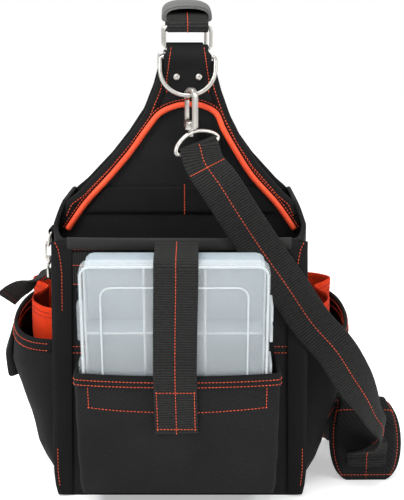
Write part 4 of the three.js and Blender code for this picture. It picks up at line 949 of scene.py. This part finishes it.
bandOver(
    "box_pocket_tape", "box_pocket_binding", pocketAll, pocketNormals, pocket["wall"], pocket["tape"],
    pocketPerMm, skip=2,
)
for drop in (4.2, 9.2):
    sewPocket(drop, np.linspace(6, pocketEnd - 7, 260), lift=1.15)
panelFirst, panelLast = 23.0, pocketEnd - 24.0
sewPocket(32 + 3.5 * (1 - np.linspace(-1, 1, 200) ** 2), np.linspace(panelFirst, panelLast, 200))
for column in (panelFirst, panelLast):
    sewPocket(np.linspace(13, 32, 30), column)
stitchPiece("stitches_pocket")
print("pocket ready")

hardCopy("box_tray", "parts_box_tray", trayPlastic, 0.5)
hardCopy("box_lid", "parts_box_lid", frostedPlastic, 0.7)
for level, body in (("lower", "bag"), ("middle", "bag"), ("upper", "upper_latch")):
    hardCopy(f"latch_{level}", f"box_latch_{level}", frostedEdge, 0.5, body)


# A rounded rectangle as (across, up) points: each corner is a quarter circle.
def roundedLoop(half, low, high, radius, step):
    turns = np.arange(4)[:, None] * math.pi / 2 + np.linspace(0, math.pi / 2, 8)[None]
    centreX = np.array((half - radius, radius - half, radius - half, half - radius))[:, None]
    centreZ = np.array((high - radius, high - radius, low + radius, low + radius))[:, None]
    line = np.stack((centreX + radius * np.cos(turns), centreZ + radius * np.sin(turns)), -1)
    return evenLoop(line.reshape(-1, 2), step)


boxFacing = boxPoint(0, 1, 0) - boxPoint(0, 0, 0)
for name, half, low, high, radius, front, wire in (
    ("lid_frame", 63, 17, 201, 9, 36.0, 0.9),
    ("lid_rim", 79.6, 2, 220, 8, 36.0, 1.1),
    ("tray_rim", 77.2, 4.3, 217.7, 7, 26.0, 0.9),
):
    outline = roundedLoop(half, low, high, radius, 3.0)
    path = boxPoint(outline[:, 0], front, outline[:, 1])
    tubePiece(name, None, path, boxFacing, wire, frostedEdge, sides=10, closed=True)

# the dividers' front edges, which show through the lid
dividers = {"across": 26.1, "front": 25.7, "shares": (0.23, 0.46, 0.7), "low": 5, "high": 217, "half": 76.5}
upright = np.linspace(dividers["low"], dividers["high"], 30)
level = np.linspace(-dividers["half"], dividers["half"], 30)
walls = [(f"divider_{i}", side * dividers["across"], upright) for i, side in enumerate((-1, 1))]
for i, share in enumerate(dividers["shares"]):
    walls.append((f"row_{i}", level, dividers["low"] + share * (dividers["high"] - dividers["low"])))
for name, x, z in walls:
    tubePiece(name, None, boxPoint(x, dividers["front"], z), boxFacing, 1.3, frostedEdge, sides=8)

boxStrap = {"size": (38, 1.8), "shift": -2.2, "hem": 236, "foot": 82, "lift": 1.05}
ply = boxStrap["size"][1] / 2 + 0.35
tapeTop = pocket["rim"] - pocket["tape"]
boxBack = -bag["halfDepth"] - ply - 1.5
boxLine = [(boxBack, boxStrap["hem"] - 17), (boxBack, boxStrap["hem"] - 4)]
for front, up in (  # over the box, from its own frame
    (-6, partsBox["length"] + 2 * ply),
    (2, partsBox["length"] + 1.4 * ply),
    (partsBox["thick"] - 3, partsBox["length"] + 1.6 * ply),
    (partsBox["thick"] + 1.2 * ply, partsBox["length"] - 1.0),
    (partsBox["thick"] + 1.5 * ply, partsBox["length"] - 7),
    (partsBox["thick"] + 1.5 * ply, 0.8 * partsBox["length"]),
    (partsBox["thick"] + 1.5 * ply, 0.62 * partsBox["length"]),
):
    boxLine.append(tuple(boxPoint(0, front, up)[1:]))
for z, plies in (  # down the pocket, so many plies off its face
    (pocket["rim"] + 6, 2.6),
    (tapeTop + 3, 3.2),
    (tapeTop - 9, 2.6),
    (boxStrap["foot"] + 8, 2.6),
    (boxStrap["foot"], 2.5),
):
    boxLine.append((pocketFace(z) - plies * ply, z))
boxCurve = smoothPath(flatLine(boxLine, x=boxStrap["shift"]), 300)
boxCurve[:, 0] += 0.7 * np.sin(boxCurve[:, 2] / 31)
boxPath, boxAcross = strapPiece(
    "box_strap_webbing", "box_strap", boxCurve, (1, 0, 0), boxStrap["size"], ribbedStrap
)

# stitches on the strap's outer side, which faces the front, or up where the strap lies level
boxUp = np.cross(unit(np.gradient(boxPath, axis=0)), boxAcross)
boxUp = boxUp * np.where(np.abs(boxUp[:, 1:2]) > 0.25, -np.sign(boxUp[:, 1:2]), np.sign(boxUp[:, 2:3]))
boxFace = boxPath + boxUp * boxStrap["lift"]
visible = boxPath[:, 1] < -bag["halfDepth"] - 8
sewRow("stitches_box_strap", boxFace[visible], boxUp[visible], pitch=3.0)
patch = (boxPath[:, 2] < 122) & (boxPath[:, 2] > 85.5)
for shift in (-16.5, 16.5):
    sewRow("stitches_box_strap", boxFace[patch] + np.array((shift, 0, 0)), boxUp[patch])
for level in (121.5, 86.0):
    i = int(np.argmin(np.abs(boxPath[:, 2] - level) + 1000 * (boxPath[:, 1] > -120)))
    line = boxFace[i] + np.linspace(-16.5, 16.5, 20)[:, None] * np.array((1, 0, 0))
    sewRow("stitches_box_strap", line, boxUp[i])
stitchPiece("stitches_box_strap")
print("parts box ready")

sidePocket = {
    "inner": 105,
    "reach": 55,
    "root": 6,
    "middle": -2,
    "spread": 64,
    "foot": 4.3,
    "shapeHeight": 168,
    "rimFront": 145,
    "rimBack": 172,
    "wall": 2,
    "tape": 12,
    "toolInner": 111,
    "toolFoot": 76,
    "toolRimFront": 170,
    "toolRimBack": 189,
    "toolWall": 1.6,
}
sideShape = (
    (0, 0.13), (0.04, 0.25), (0.12, 0.42), (0.21, 0.55), (0.38, 0.69), (0.68, 1), (0.86, 0.94), (1, 0.88)
)
toolFold = (
    (0.1, 0.02), (0.16, 0.36), (0.3, 0.58), (0.42, 0.6), (0.52, 0.46), (0.6, 0.4), (0.68, 0.56),
    (0.79, 0.7), (0.87, 0.5), (0.92, 0.02),
)


# The same grid on the left: x turned over and the columns run the other way.
def mirrored(grid, side):
    return grid if side > 0 else (grid * np.array((-1, 1, 1)))[:, ::-1]


# A rim that rises in a straight line from front to back.
def slopedRim(y, front, back):
    return front + (back - front) * (y + 66) / 128


def sideReach(z):
    rise = (z - sidePocket["foot"]) / sidePocket["shapeHeight"]
    return sidePocket["reach"] * lookUp(rise, sideShape) + sidePocket["root"]


# x is a flattened half circle of the turn, whose reach follows the height's shape row.
def sideGrid(side, rows=56, cols=74):
    turn = np.linspace(0.02, math.pi - 0.02, cols)[None]
    y = sidePocket["middle"] - sidePocket["spread"] * np.cos(turn)
    up = np.linspace(0, 1, rows)[:, None]
    rim = slopedRim(y, sidePocket["rimFront"], sidePocket["rimBack"])
    z = sidePocket["foot"] + up * (rim - sidePocket["foot"])
    calm = np.sin(turn) * np.sin(np.clip(up * 1.15, 0, 1) * math.pi) ** 0.6
    folds = 2.2 * np.sin(turn * 9 + 0.5 * side) * np.clip(1 - up * 1.6, 0, 1) + ripple(y, z, 2.0, 24, 3.0 * side)
    x = sidePocket["inner"] + sideReach(z) * np.sin(turn) ** 0.55 + calm * folds
    x = np.maximum(x, bodyHalf(y, z) + 0.5)
    return mirrored(np.stack((x, y + 0 * x, z), -1), side)


# The bright pocket in two folds: x and y follow the fold's rows, and it stays inside the side pocket.
def toolGrid(side, rows=30, cols=110):
    fold = np.array(toolFold)
    line = smoothPath(np.stack((fold[:, 0] * 100, fold[:, 1] * sidePocket["reach"], 0 * fold[:, 0]), 1), cols)
    y = sidePocket["middle"] + (2 * line[:, 0] / 100 - 1) * sidePocket["spread"]
    up = np.linspace(0, 1, rows)[:, None]
    rim = slopedRim(y, sidePocket["toolRimFront"], sidePocket["toolRimBack"])
    z = sidePocket["toolFoot"] + up * (rim - sidePocket["toolFoot"])
    narrow = 0.72 + 0.28 * np.clip((z - sidePocket["toolFoot"]) / 70, 0, 1)
    free = np.clip(np.clip(line[:, 1] / 33, 0, 1) * 2, 0, 1)
    x = sidePocket["toolInner"] + line[:, 1] * narrow + ripple(y + 0 * z, z, 0.8, 21, 6.0) * free
    swing = np.sqrt(np.clip(1 - ((y - sidePocket["middle"]) / sidePocket["spread"]) ** 2, 0, 1)) ** 0.55
    room = sidePocket["inner"] + sideReach(z) * swing - 4.5
    x = np.where(z < sidePocket["rimBack"], np.minimum(x, room), x)
    x = np.maximum(x, bodyHalf(y, z) + 0.5)
    return mirrored(np.stack((x, y + 0 * x, z), -1), side)


for side, label in ((1, "right"), (-1, "left")):
    grid = sideGrid(side)
    wall, top, end = sidePocket["wall"], grid.shape[0] - 1, grid.shape[1]
    normals = wallPiece(f"side_pocket_cloth_{label}", f"side_pocket_{label}", grid, blackCloth, wall)
    perMm = top / 155
    names = (f"side_pocket_tape_{label}", f"side_binding_{label}")
    bandOver(*names, grid, normals, wall, sidePocket["tape"], perMm, skip=1)
    for drop in (3.4, 10.6):
        for face, lift in ((1, 1.2), (-1, wall + 1.2)):
            cols = np.linspace(3, end - 4, 240)
            sewOn("stitches_side", grid, face * normals, top - drop * perMm, cols, lift=lift)
    for column, tilt in ((30, 3), (36, 0), (42, -3)):  # slanted rows inside
        inner = column if side > 0 else end - 1 - column
        cols = inner + np.linspace(0, tilt * side, 20)
        sewOn("stitches_side", grid, -normals, top - np.linspace(15, 40, 20) * perMm, cols, lift=wall + 0.2)
    tool = toolGrid(side)
    names = (f"tool_pocket_cloth_{label}", f"tool_pocket_{label}")
    toolNormals = wallPiece(*names, tool, orangeTwill, sidePocket["toolWall"])
    for drop in (5.5, 10.5):
        cols = np.linspace(4, 105, 200)
        sewOn("stitches_tool", tool, toolNormals, 29 - drop * 0.27, cols, lift=0.1, pitch=2.6, length=2.0)
stitchPiece("stitches_side")
stitchPiece("stitches_tool", redThread)

# a soft flap on the outside of the left pocket, rounded at its foot by a quarter circle
flap = {"from": 0.4, "to": 0.7, "low": 0.6, "high": 0.93, "proud": 8.5, "thick": 1.4}
leftGrid = sideGrid(-1)
flapRows = np.linspace(flap["low"], flap["high"], 26)[:, None]
flapCols = np.linspace(1 - flap["to"], 1 - flap["from"], 16)[None]
squeeze = np.sqrt(np.clip(1 - (1 - np.clip((flapRows - flap["low"]) / 0.06, 0, 1)) ** 2, 0.02, 1))
flapCols = (flapCols - flapCols.mean()) * squeeze + flapCols.mean()
flapPlace = (flapRows * (leftGrid.shape[0] - 1) + 0 * flapCols, flapCols * (leftGrid.shape[1] - 1))
flapBase = sampleGrid(leftGrid, *flapPlace)
flapFace = unit(sampleGrid(gridNormals(leftGrid), *flapPlace))
proud = flap["proud"] * squeeze * np.clip((flap["high"] + 0.03 - flapRows) / 0.3, 0.1, 1)
flapOuter = flapBase + flapFace * (proud + flap["thick"])[..., None]
flapInner = flapBase + flapFace * 0.5
gridPiece("side_flap", None, np.concatenate((flapOuter, flapInner[:, ::-1]), 1), blackCloth)
print("side pockets ready")

ringWire = {"radius": 1.6, "half": 21.1, "low": 414.6, "high": 434.4, "round": 3.4}
dRing = {
    "radius": 1.95,
    "half": 25.15,
    "bar": 4.3,
    "barHeight": 407.5,
    "drop": 36,
    "tilt": math.radians(19),
}
tab = {"width": 37.4, "wide": 43.5, "thick": 2.2}
tabLine = np.array((  # out from the wing's middle, height
    (-3.45, 376), (-3.45, 395), (-3.3, 408), (-3.05, 414.6), (-2.16, 416.76), (0, 417.65), (2.16, 416.76),
    (3.5, 414.4), (5.6, 412.6), (7.5, 410), (8.0, 407.5), (7.6, 404.8), (5.4, 400), (3.8, 396), (3.45, 392),
    (3.45, 376.4),
))
for label, out in (("front", -1), ("rear", 1)):
    plane, shift = out * wings["plane"], wings[f"{label}Shift"]
    outline = roundedLoop(ringWire["half"], ringWire["low"], ringWire["high"], ringWire["round"], 1.2)
    path = flatLine(outline + np.array((shift, 0)), y=plane)
    names = (f"square_ring_{label}", f"ring_{label}")
    tubePiece(*names, path, (0, 1, 0), ringWire["radius"], brightNickel, closed=True)

    # the D-ring: a half circle under a straight bar with eased corners, tilted out from the wing
    turn = np.linspace(0, math.pi, 40)
    half, tilt = dRing["half"], dRing["tilt"]
    bow = np.stack((half * np.cos(turn), half - dRing["drop"] - half * np.sin(turn)), 1)
    corner = np.array(((-half, -2.6), (-half + 0.8, -0.8), (-half + 2.6, 0.0)))
    loop = evenLoop(np.concatenate((bow, corner, corner[::-1] * np.array((-1, 1)))), 1.4)
    y = plane + out * (dRing["bar"] - loop[:, 1] * math.sin(tilt))
    path = np.stack((loop[:, 0] + shift, y, dRing["barHeight"] + loop[:, 1] * math.cos(tilt)), 1)
    facing, names = (0, math.cos(tilt), out * math.sin(tilt)), (f"dee_{label}", f"d_ring_{label}")
    tubePiece(*names, path, facing, dRing["radius"], brightNickel, closed=True)

    # the tab: folded over the ring's foot, and wider below it
    line = smoothPath(flatLine(tabLine * np.array((out, 1)) + np.array((plane, 0)), x=shift), 140)
    widens = np.where(out * (line[:, 1] - plane) > 2.5, 413, 405)
    wide = 1 + (tab["wide"] / tab["width"] - 1) * np.clip((widens - line[:, 2]) / 4, 0, 1)
    tabPath, _ = strapPiece(
        f"tab_cloth_{label}", f"tab_{label}", line, (1, 0, 0), (tab["width"], tab["thick"]), tapeCloth,
        ribs=None, wide=wide, step=0.8,
    )
    outer = tabPath[(out * (tabPath[:, 1] - plane) > 2.5) & (tabPath[:, 2] < 416)]
    reach = 14.9 + 4.2 * np.clip((416 - outer[:, 2]) / 28, 0, 1)
    steep = np.abs(unit(np.gradient(outer, axis=0))[:, 2])
    facing = np.stack((0 * steep, out * steep, 0 * steep + 0.15), 1)
    for side in (-1, 1):
        row = outer + np.stack((side * reach, 0 * reach + out * (tab["thick"] / 2 + 0.2), 0 * reach), 1)
        sewRow("stitches_tabs", row, facing, pitch=2.8)
    for name in ("left", "right"):
        hardCopy(f"rivet_cap_{label}_{name}", f"rivet_{label}_{name}", brightNickel, 0.3)
stitchPiece("stitches_tabs")

hardCopy("hook", "snap_hook", brightNickel, 0.7, segments=3)
hardCopy("hook_gate_arm", "snap_gate", brightNickel, 0.5, "hook_gate", segments=3)
eye = {
    "half": 22.75,
    "drop": 17,
    "wire": 2.0,
    "turns": (-16, -17, 28),  # forward about x, tilted about y, turned about z
    "place": (10.5, -66.02, 342.68),
    "top": -0.16,
    "stud": 2.6,
}
eyeShape = ((0.25, 0.2), (0.55, 0.34), (0.84, 0.58), (0.98, 0.86), (0.93, 1))


# Turned about x, then about y, then about z, and moved to the snap.
def eyeTurned(points):
    a, b, c = (math.radians(turn) for turn in eye["turns"])
    aboutX = np.array(((1, 0, 0), (0, math.cos(a), -math.sin(a)), (0, math.sin(a), math.cos(a))))
    aboutY = np.array(((math.cos(b), 0, math.sin(b)), (0, 1, 0), (-math.sin(b), 0, math.cos(b))))
    aboutZ = np.array(((math.cos(c), -math.sin(c), 0), (math.sin(c), math.cos(c), 0), (0, 0, 1)))
    return np.array(points, float) @ (aboutZ @ aboutY @ aboutX).T + np.array(eye["place"])


eyeRight = [(out * eye["half"], 0, -drop * eye["drop"]) for out, drop in eyeShape]
eyeLeft = [(-x, y, z) for x, y, z in eyeRight[::-1]]
eyeTop = [(0, 0, eye["top"] * eye["drop"])]
eyeLine = np.array(eyeTop + eyeRight + eyeLeft + eyeTop)
eyePath = eyeTurned(evenPath(smoothPath(eyeLine, 300), 1.2)[:-1])
eyeFacing = (eyeTurned([(0, 1, 0)]) - eyeTurned([(0, 0, 0)]))[0]
tubePiece("hook_eye", "snap_eye", eyePath, eyeFacing, eye["wire"], brightNickel, closed=True)
studPath = np.array(eye["place"]) + np.linspace(-6.5, 4, 12)[:, None] * np.array((0, 0, 1))
tubePiece("hook_stud", None, studPath, (1, 0, 0), eye["stud"], brightNickel)
hardCopy("hook_rear", "rear_snap", brightNickel, 0.5)
hardCopy("small_ring", "side_ring", brightNickel, 0.3)
hardCopy("small_hook", "side_snap", brightNickel, 0.3)

handle = {"size": (37.6, 3.0), "shift": 5.25, "lean": 2.25 / 50, "barY": -49, "barZ": 433.5, "rise": 439.5}
handleFront = (
    (-36, 442.1), (-42, 439.6), (-45.6, 436.2), (-46.9, 433.2), (-48.1, 431.5), (-50, 430.95),
    (-52.4, 432.0), (-53.45, 434.4), (-52.4, 436.9), (-50.4, 438.1), (-46, 440.9), (-42, 443.5),
    (-30, 447.1), (-15, 449.0),
)
handleLine = [*handleFront, (0, 449.5), *((-y, z) for y, z in handleFront[::-1])]


def handleMiddle(y):
    return handle["shift"] - handle["lean"] * y


handlePath = smoothPath(np.array([(handleMiddle(y), y, z) for y, z in handleLine]), 260)
strapPiece("handle_strap", "handle_webbing", handlePath, (1, 0, 0), handle["size"], ribbedStrap)

# stitches round the ring's bar and on up the rise, under the grip's mouth
dropPath = handlePath[handlePath[:, 1] < -34]
nought = 0 * dropPath[:, 0]
dropSlope = unit(np.gradient(dropPath, axis=0))
fromBar = unit(np.stack((nought, dropPath[:, 1] - handle["barY"], dropPath[:, 2] - handle["barZ"]), 1))
fromSlope = np.stack((nought, -dropSlope[:, 2], dropSlope[:, 1]), 1)
fromSlope = fromSlope * np.sign(fromSlope[:, 2:] + 1e-9)
onRise = dropPath[:, 2] > handle["rise"]
dropUp = np.where(onRise[:, None], fromSlope, fromBar)
outside = (dropUp[:, 1] < 0.2) | onRise
sewRow("stitches_handle", dropPath[outside] + dropUp[outside] * 1.75, dropUp[outside], pitch=2.8)
stitchPiece("stitches_handle")

# the grip: rings of a squarish oval along the handle's arch, with a wall and eased ends
grip = {"half": 22.5, "crown": 10, "under": 6.05, "length": 43, "wall": 2.6}
gripEnd = grip["length"]
gripRun = np.linspace(-gripEnd + 1.2, gripEnd - 1.2, 44)
archY = np.concatenate(([-gripEnd + 0.2, -gripEnd], gripRun, [gripEnd, gripEnd - 0.2]))[:, None]
archZ = lookUp(archY, sorted((y, z) for y, z in handleLine if z >= 443.4))
ease = np.concatenate(([0.955, 0.985], np.ones(44), [0.985, 0.955]))[:, None]
turn = np.linspace(0, 2 * math.pi, 56, endpoint=False)[None]
boxy = np.sign(np.cos(turn)) * np.abs(np.cos(turn)) ** 0.75
domed = np.where(np.sin(turn) > 0, np.abs(np.sin(turn)) ** 0.9, -(np.abs(np.sin(turn)) ** 0.45))


def gripRing(shrink):
    half, crown, below = (grip[part] - shrink for part in ("half", "crown", "under"))
    x = half * boxy * ease
    z = np.where(domed > 0, crown * domed, below * domed) * ease
    return np.stack((x + handleMiddle(archY), archY + 0 * x, z + archZ), -1)


gripRows = np.concatenate((gripRing(0), gripRing(grip["wall"])[::-1]), 0)
gridPiece("grip_rubber", "grip", gripRows, gripRubber, wrapRows=True)
print("handle and hardware ready")

shoulder = {"size": (38, 1.8), "lift": 1.12, "tack": 54.0, "padMouth": (183, -62, 40)}
atEye, inPad = (-0.84, -0.45, -0.29), (-1, -0.02, 0)
strapStops = (  # direction across, places
    (atEye, ((23.9, -68.6, 308.0), (20.6, -67.1, 315.1), (18.1, -65.9, 320.5), (15.7, -64.8, 325.8))),
    (atEye, ((15.0, -65.2, 328.4), (15.4, -67.2, 330.3), (16.7, -69.6, 330.2), (18.2, -71.1, 328.3))),
    ((-0.85, -0.38, -0.36), ((22.5, -79, 313),)),
    ((-0.84, -0.18, -0.5), ((34, -87, 298.5),)),
    ((-0.83, -0.05, -0.56), ((53.4, -90, 268),)),
    ((-0.83, 0, -0.56), ((74.5, -91, 236), (97, -91, 204), (123, -89.5, 165))),
    ((-0.84, 0, -0.54), ((143, -89, 143),)),
    ((-0.82, -0.26, -0.50), ((160, -83, 115),)),
    ((-0.62, -0.68, -0.38), ((174, -77, 92),)),
    ((-0.42, -0.86, -0.3), ((183, -73, 73),)),
    ((-0.25, -0.90, -0.37), ((191, -71, 60),)),
    ((-0.40, -0.85, -0.40), ((189, -68, 49),)),
    ((-0.85, -0.50, -0.25), (shoulder["padMouth"],)),
    (inPad, ((180, -47.3, 26.7), (180, -47.1, 19.2), (180, -45.9, 11.5), (180, -45.7, 6.9), (180, -45, 3))),
    (inPad, ((180, -42.6, 6.7), (179.9, -40.5, 16.5), (179.9, -38.1, 25.2), (179.8, -33.4, 39.8))),
    (inPad, ((179.7, -27.9, 54.2), (179.6, -23.5, 60.4), (179.5, -17.4, 65.1), (179.4, -9.9, 66.6))),
    (inPad, ((179.3, -2.4, 65.1), (179.1, 4.2, 61.2), (178.9, 16.1, 51.5), (178.7, 27.2, 40.9))),
    (inPad, ((178.5, 38.7, 30.5), (178.4, 44.4, 25.4), (178.3, 52.8, 18.3), (178.1, 62.5, 15.5))),
    (inPad, ((178, 70.8, 12.5), (177, 86, 12))),
    ((-0.98, 0, -0.10), ((172, 98, 17),)),
    ((-0.92, 0, -0.35), ((158, 105, 38),)),
    ((-0.87, 0, -0.48), ((134, 107, 78), (98, 106, 140))),
    ((-0.88, 0, -0.46), ((60, 104, 205),)),
    ((-0.92, 0, -0.38), ((26, 98, 262),)),
    ((-0.98, 0, -0.15), ((6, 88, 300),)),
    ((-1, 0, 0), ((3, 69.6, 324.4), (3, 68.6, 327), (3, 66, 328), (3, 63.5, 327), (3, 62.4, 324.4))),
    ((-1, 0, 0), ((3, 62.4, 318.4), (3, 62.4, 312.4), (3, 62.4, 304.4))),
)
strapRows = np.array([(*place, *across) for across, places in strapStops for place in places])
strapCurve = evenPath(smoothPath(strapRows, 1600), 0.8)


# A moving mean over the free stretch, blended in and out by straight steps of the place along it.
def calmed(curve, window, low, high, fade):
    kernel = np.hanning(window + 2)[1:-1]
    kernel = kernel / kernel.sum()
    padded = np.pad(curve, ((window // 2, window // 2), (0, 0)), mode="edge")
    mean = np.stack([np.convolve(padded[:, k], kernel, mode="valid") for k in range(curve.shape[1])], 1)
    place = np.arange(len(curve))[:, None]
    share = np.clip((place - low) / fade, 0, 1) * np.clip((high - place) / fade, 0, 1)
    return curve * (1 - share) + mean[: len(curve)] * share


padStart = int(np.argmin(np.linalg.norm(strapCurve[:, :3] - np.array(shoulder["padMouth"]), axis=1)))
strapCurve = calmed(strapCurve, 45, 34, padStart - 40, 40)
strapPath, strapAcross = strapPiece(
    "shoulder_webbing", "shoulder_strap", strapCurve[:, :3], strapCurve[:, 3:], shoulder["size"], ribbedStrap
)
_, strapSide, strapUp = directions(strapPath, strapAcross)
strapLength = lengthsOf(strapPath)
print("strap length", round(float(strapLength[-1])), "mm")
free = (strapLength > 30) & (strapLength < strapLength[-1] - 25)
tackAt = int(np.argmin(np.abs(strapLength - shoulder["tack"])))
for face in (-1, 1):
    up = face * strapUp
    sewRow("stitches_strap", (strapPath + up * shoulder["lift"])[free], up[free], pitch=3.3, length=2.3)
for face in (-1, 1):
    up = face * strapUp[tackAt]
    line = strapPath[tackAt] + up * shoulder["lift"] + np.linspace(-17, 17, 20)[:, None] * strapSide[tackAt]
    sewRow("stitches_strap", line, up, pitch=2.6)
stitchPiece("stitches_strap")

pad = {
    "x": 180,
    "y": -45,
    "spread": 120,
    "height": 67,
    "turn": math.radians(-1),
    "half": 35,
    "border": 1.6,
    "crown": 4.6,
    "slot": 20.4,
    "slotHalf": 1.25,
    "corner": 15,
    "step": 2.2,
}
padRows = np.array((  # share along, rise, width
    (0, -0.02, 0.74), (0.05, 0.33, 0.97), (0.11, 0.66, 1), (0.16, 0.86, 0.92), (0.24, 0.98, 0.8),
    (0.34, 0.98, 0.76), (0.45, 0.86, 0.85), (0.62, 0.58, 0.97), (0.8, 0.29, 1), (1, 0.0, 0.85),
))
padSin, padCos = math.sin(pad["turn"]), math.cos(pad["turn"])
padRun = pad["spread"] * padRows[:, 0]
padStops = (pad["x"] + padRun * padSin, pad["y"] + padRun * padCos, pad["height"] * padRows[:, 1], padRows[:, 2])
padLine = evenPath(smoothPath(np.stack(padStops, 1), 400), pad["step"])
padCount = len(padLine)
padShare = np.linspace(0, 1, padCount)[:, None]
padSide = np.array((padCos, -padSin, 0))
padUp = np.cross(padSide, unit(np.gradient(padLine[:, :3], axis=0)))[:, None]


def smoothStep(value, low, high):
    t = np.clip((value - low) / (high - low), 0, 1)
    return t * t * (3 - 2 * t)


# Each ring runs over the top and back underneath. The crown falls off by smooth steps at the border,
# and the ends and corners are quarter circles. The slot for the strap runs through the middle.
halfRound = 40
u = np.cos(np.linspace(0, math.pi, halfRound))
u = np.concatenate((u, -u[1:-1]))[None]
topSide = np.concatenate((np.ones(halfRound), -np.ones(halfRound - 2)))[None]
atEnd = np.abs(2 * padShare - 1)
endRound = np.sqrt(np.clip(1 - np.clip((atEnd - 0.97) / 0.03, 0, 1) ** 2, 0.05, 1))
crown = pad["crown"] * (1 - smoothStep(np.abs(u), 0.78, 0.92)) * (1 - smoothStep(atEnd, 0.86, 0.97))
crown = crown * (1 + 0.16 * np.sin(padShare * 60 + 3 * u) * (topSide > 0))
crown = crown + 0.25 * ripple(u * 30 + 0 * padShare, padShare * 190, 1, 11, 2.0)
border = pad["border"] * np.sqrt(np.clip(1 - u**12, 0, 1)) * endRound
proudPad = topSide * (border + np.maximum(crown, 0))
fromEnd = np.minimum(np.arange(padCount), np.arange(padCount)[::-1])[:, None] * pad["step"]
cornerCut = 13 * (1 - np.sqrt(np.clip(1 - (1 - np.clip(fromEnd / pad["corner"], 0, 1)) ** 2, 0, 1)))
halfPad = pad["half"] * padLine[:, 3:4] - cornerCut * 0.8
padMiddle = padLine[:, None, :3]
padOuter = padMiddle + (u * halfPad)[..., None] * padSide + proudPad[..., None] * padUp
slotAcross = np.sign(u) * np.abs(u) ** 0.35 * pad["slot"] + 0 * padShare
slotProud = topSide * pad["slotHalf"] * np.sqrt(np.clip(1 - u**8, 0, 1)) + 0 * padShare
slotInner = padMiddle + slotAcross[..., None] * padSide + slotProud[..., None] * padUp
padRings = np.concatenate((padOuter, slotInner[::-1]), 0)
padRings[..., 2] = np.maximum(padRings[..., 2], 0.3)
padPiece = gridPiece("pad_cloth", "shoulder_pad", padRings, blackCloth, wrapRows=True)
padNormals = -gridNormals(padOuter, wrap=True)
inside = np.linspace(3, padCount - 4, 200)
for edgeU in (-0.88, 0.88):
    for level, under in ((edgeU, 0), (-edgeU, halfRound - 1)):
        column = min(math.acos(level) / math.pi * (halfRound - 1) + under, 76.0)
        sewOn("stitches_pad", padOuter, padNormals, inside, column, lift=0.25)
for row in (3.0, 30.0, padCount - 4.0):
    sewOn("stitches_pad", padOuter, padNormals, row, np.linspace(6, 33, 40), lift=0.3)
stitchPiece("stitches_pad")

# the small loop and the tape strap on the left
loopLine = (
    (-118.8, 226), (-118.85, 238), (-119.2, 243.5), (-120.6, 246.4), (-123.0, 246.4), (-124.1, 244),
    (-123.1, 241.0), (-121.6, 238.5), (-120.9, 234), (-120.8, 226),
)
loopPath = smoothPath(flatLine(loopLine, y=-28), 70)
strapPiece("small_loop", "side_loop", loopPath, (0, 1, 0), (22, 1.2), tapeCloth, ribs=None, step=1.0)
tapeStops = (  # place, direction across
    (-129.5, -28, 196.5, 0.2, 1, 0.1), (-126.5, -28, 199.3, 0, 1, 0), (-123.6, -28, 199.0, 0, 1, 0),
    (-122.4, -28, 201.4, 0, 1, 0), (-124.2, -28, 204.0, 0, 1, 0), (-127.6, -28, 203.2, 0.05, 1, 0.1),
    (-136, -27.5, 198.6, 0.3, 0.85, 0.3), (-150, -25, 189, 0.45, 0.7, -0.5),
    (-160, -23, 183, 0.5, 0.6, -0.6), (-169, -21, 175, 0.55, 0.5, -0.65),
)
curve = smoothPath(np.array(tapeStops), 160)
tapePath, tapeAcross = strapPiece(
    "small_tape", "tape_strap", curve[:, :3], curve[:, 3:], (24, 1.6), ribbedStrap, ribs=1.8, relief=0.14
)
tapeUp = np.cross(unit(np.gradient(tapePath, axis=0)), unit(tapeAcross))
i = len(tapePath) - 12
for face in (-1, 1):
    line = tapePath[i] + face * tapeUp[i] + np.linspace(-9, 9, 12)[:, None] * unit(tapeAcross[i])
    sewRow("stitches_tape", line, face * tapeUp[i], pitch=2.8)
stitchPiece("stitches_tape", redThread)
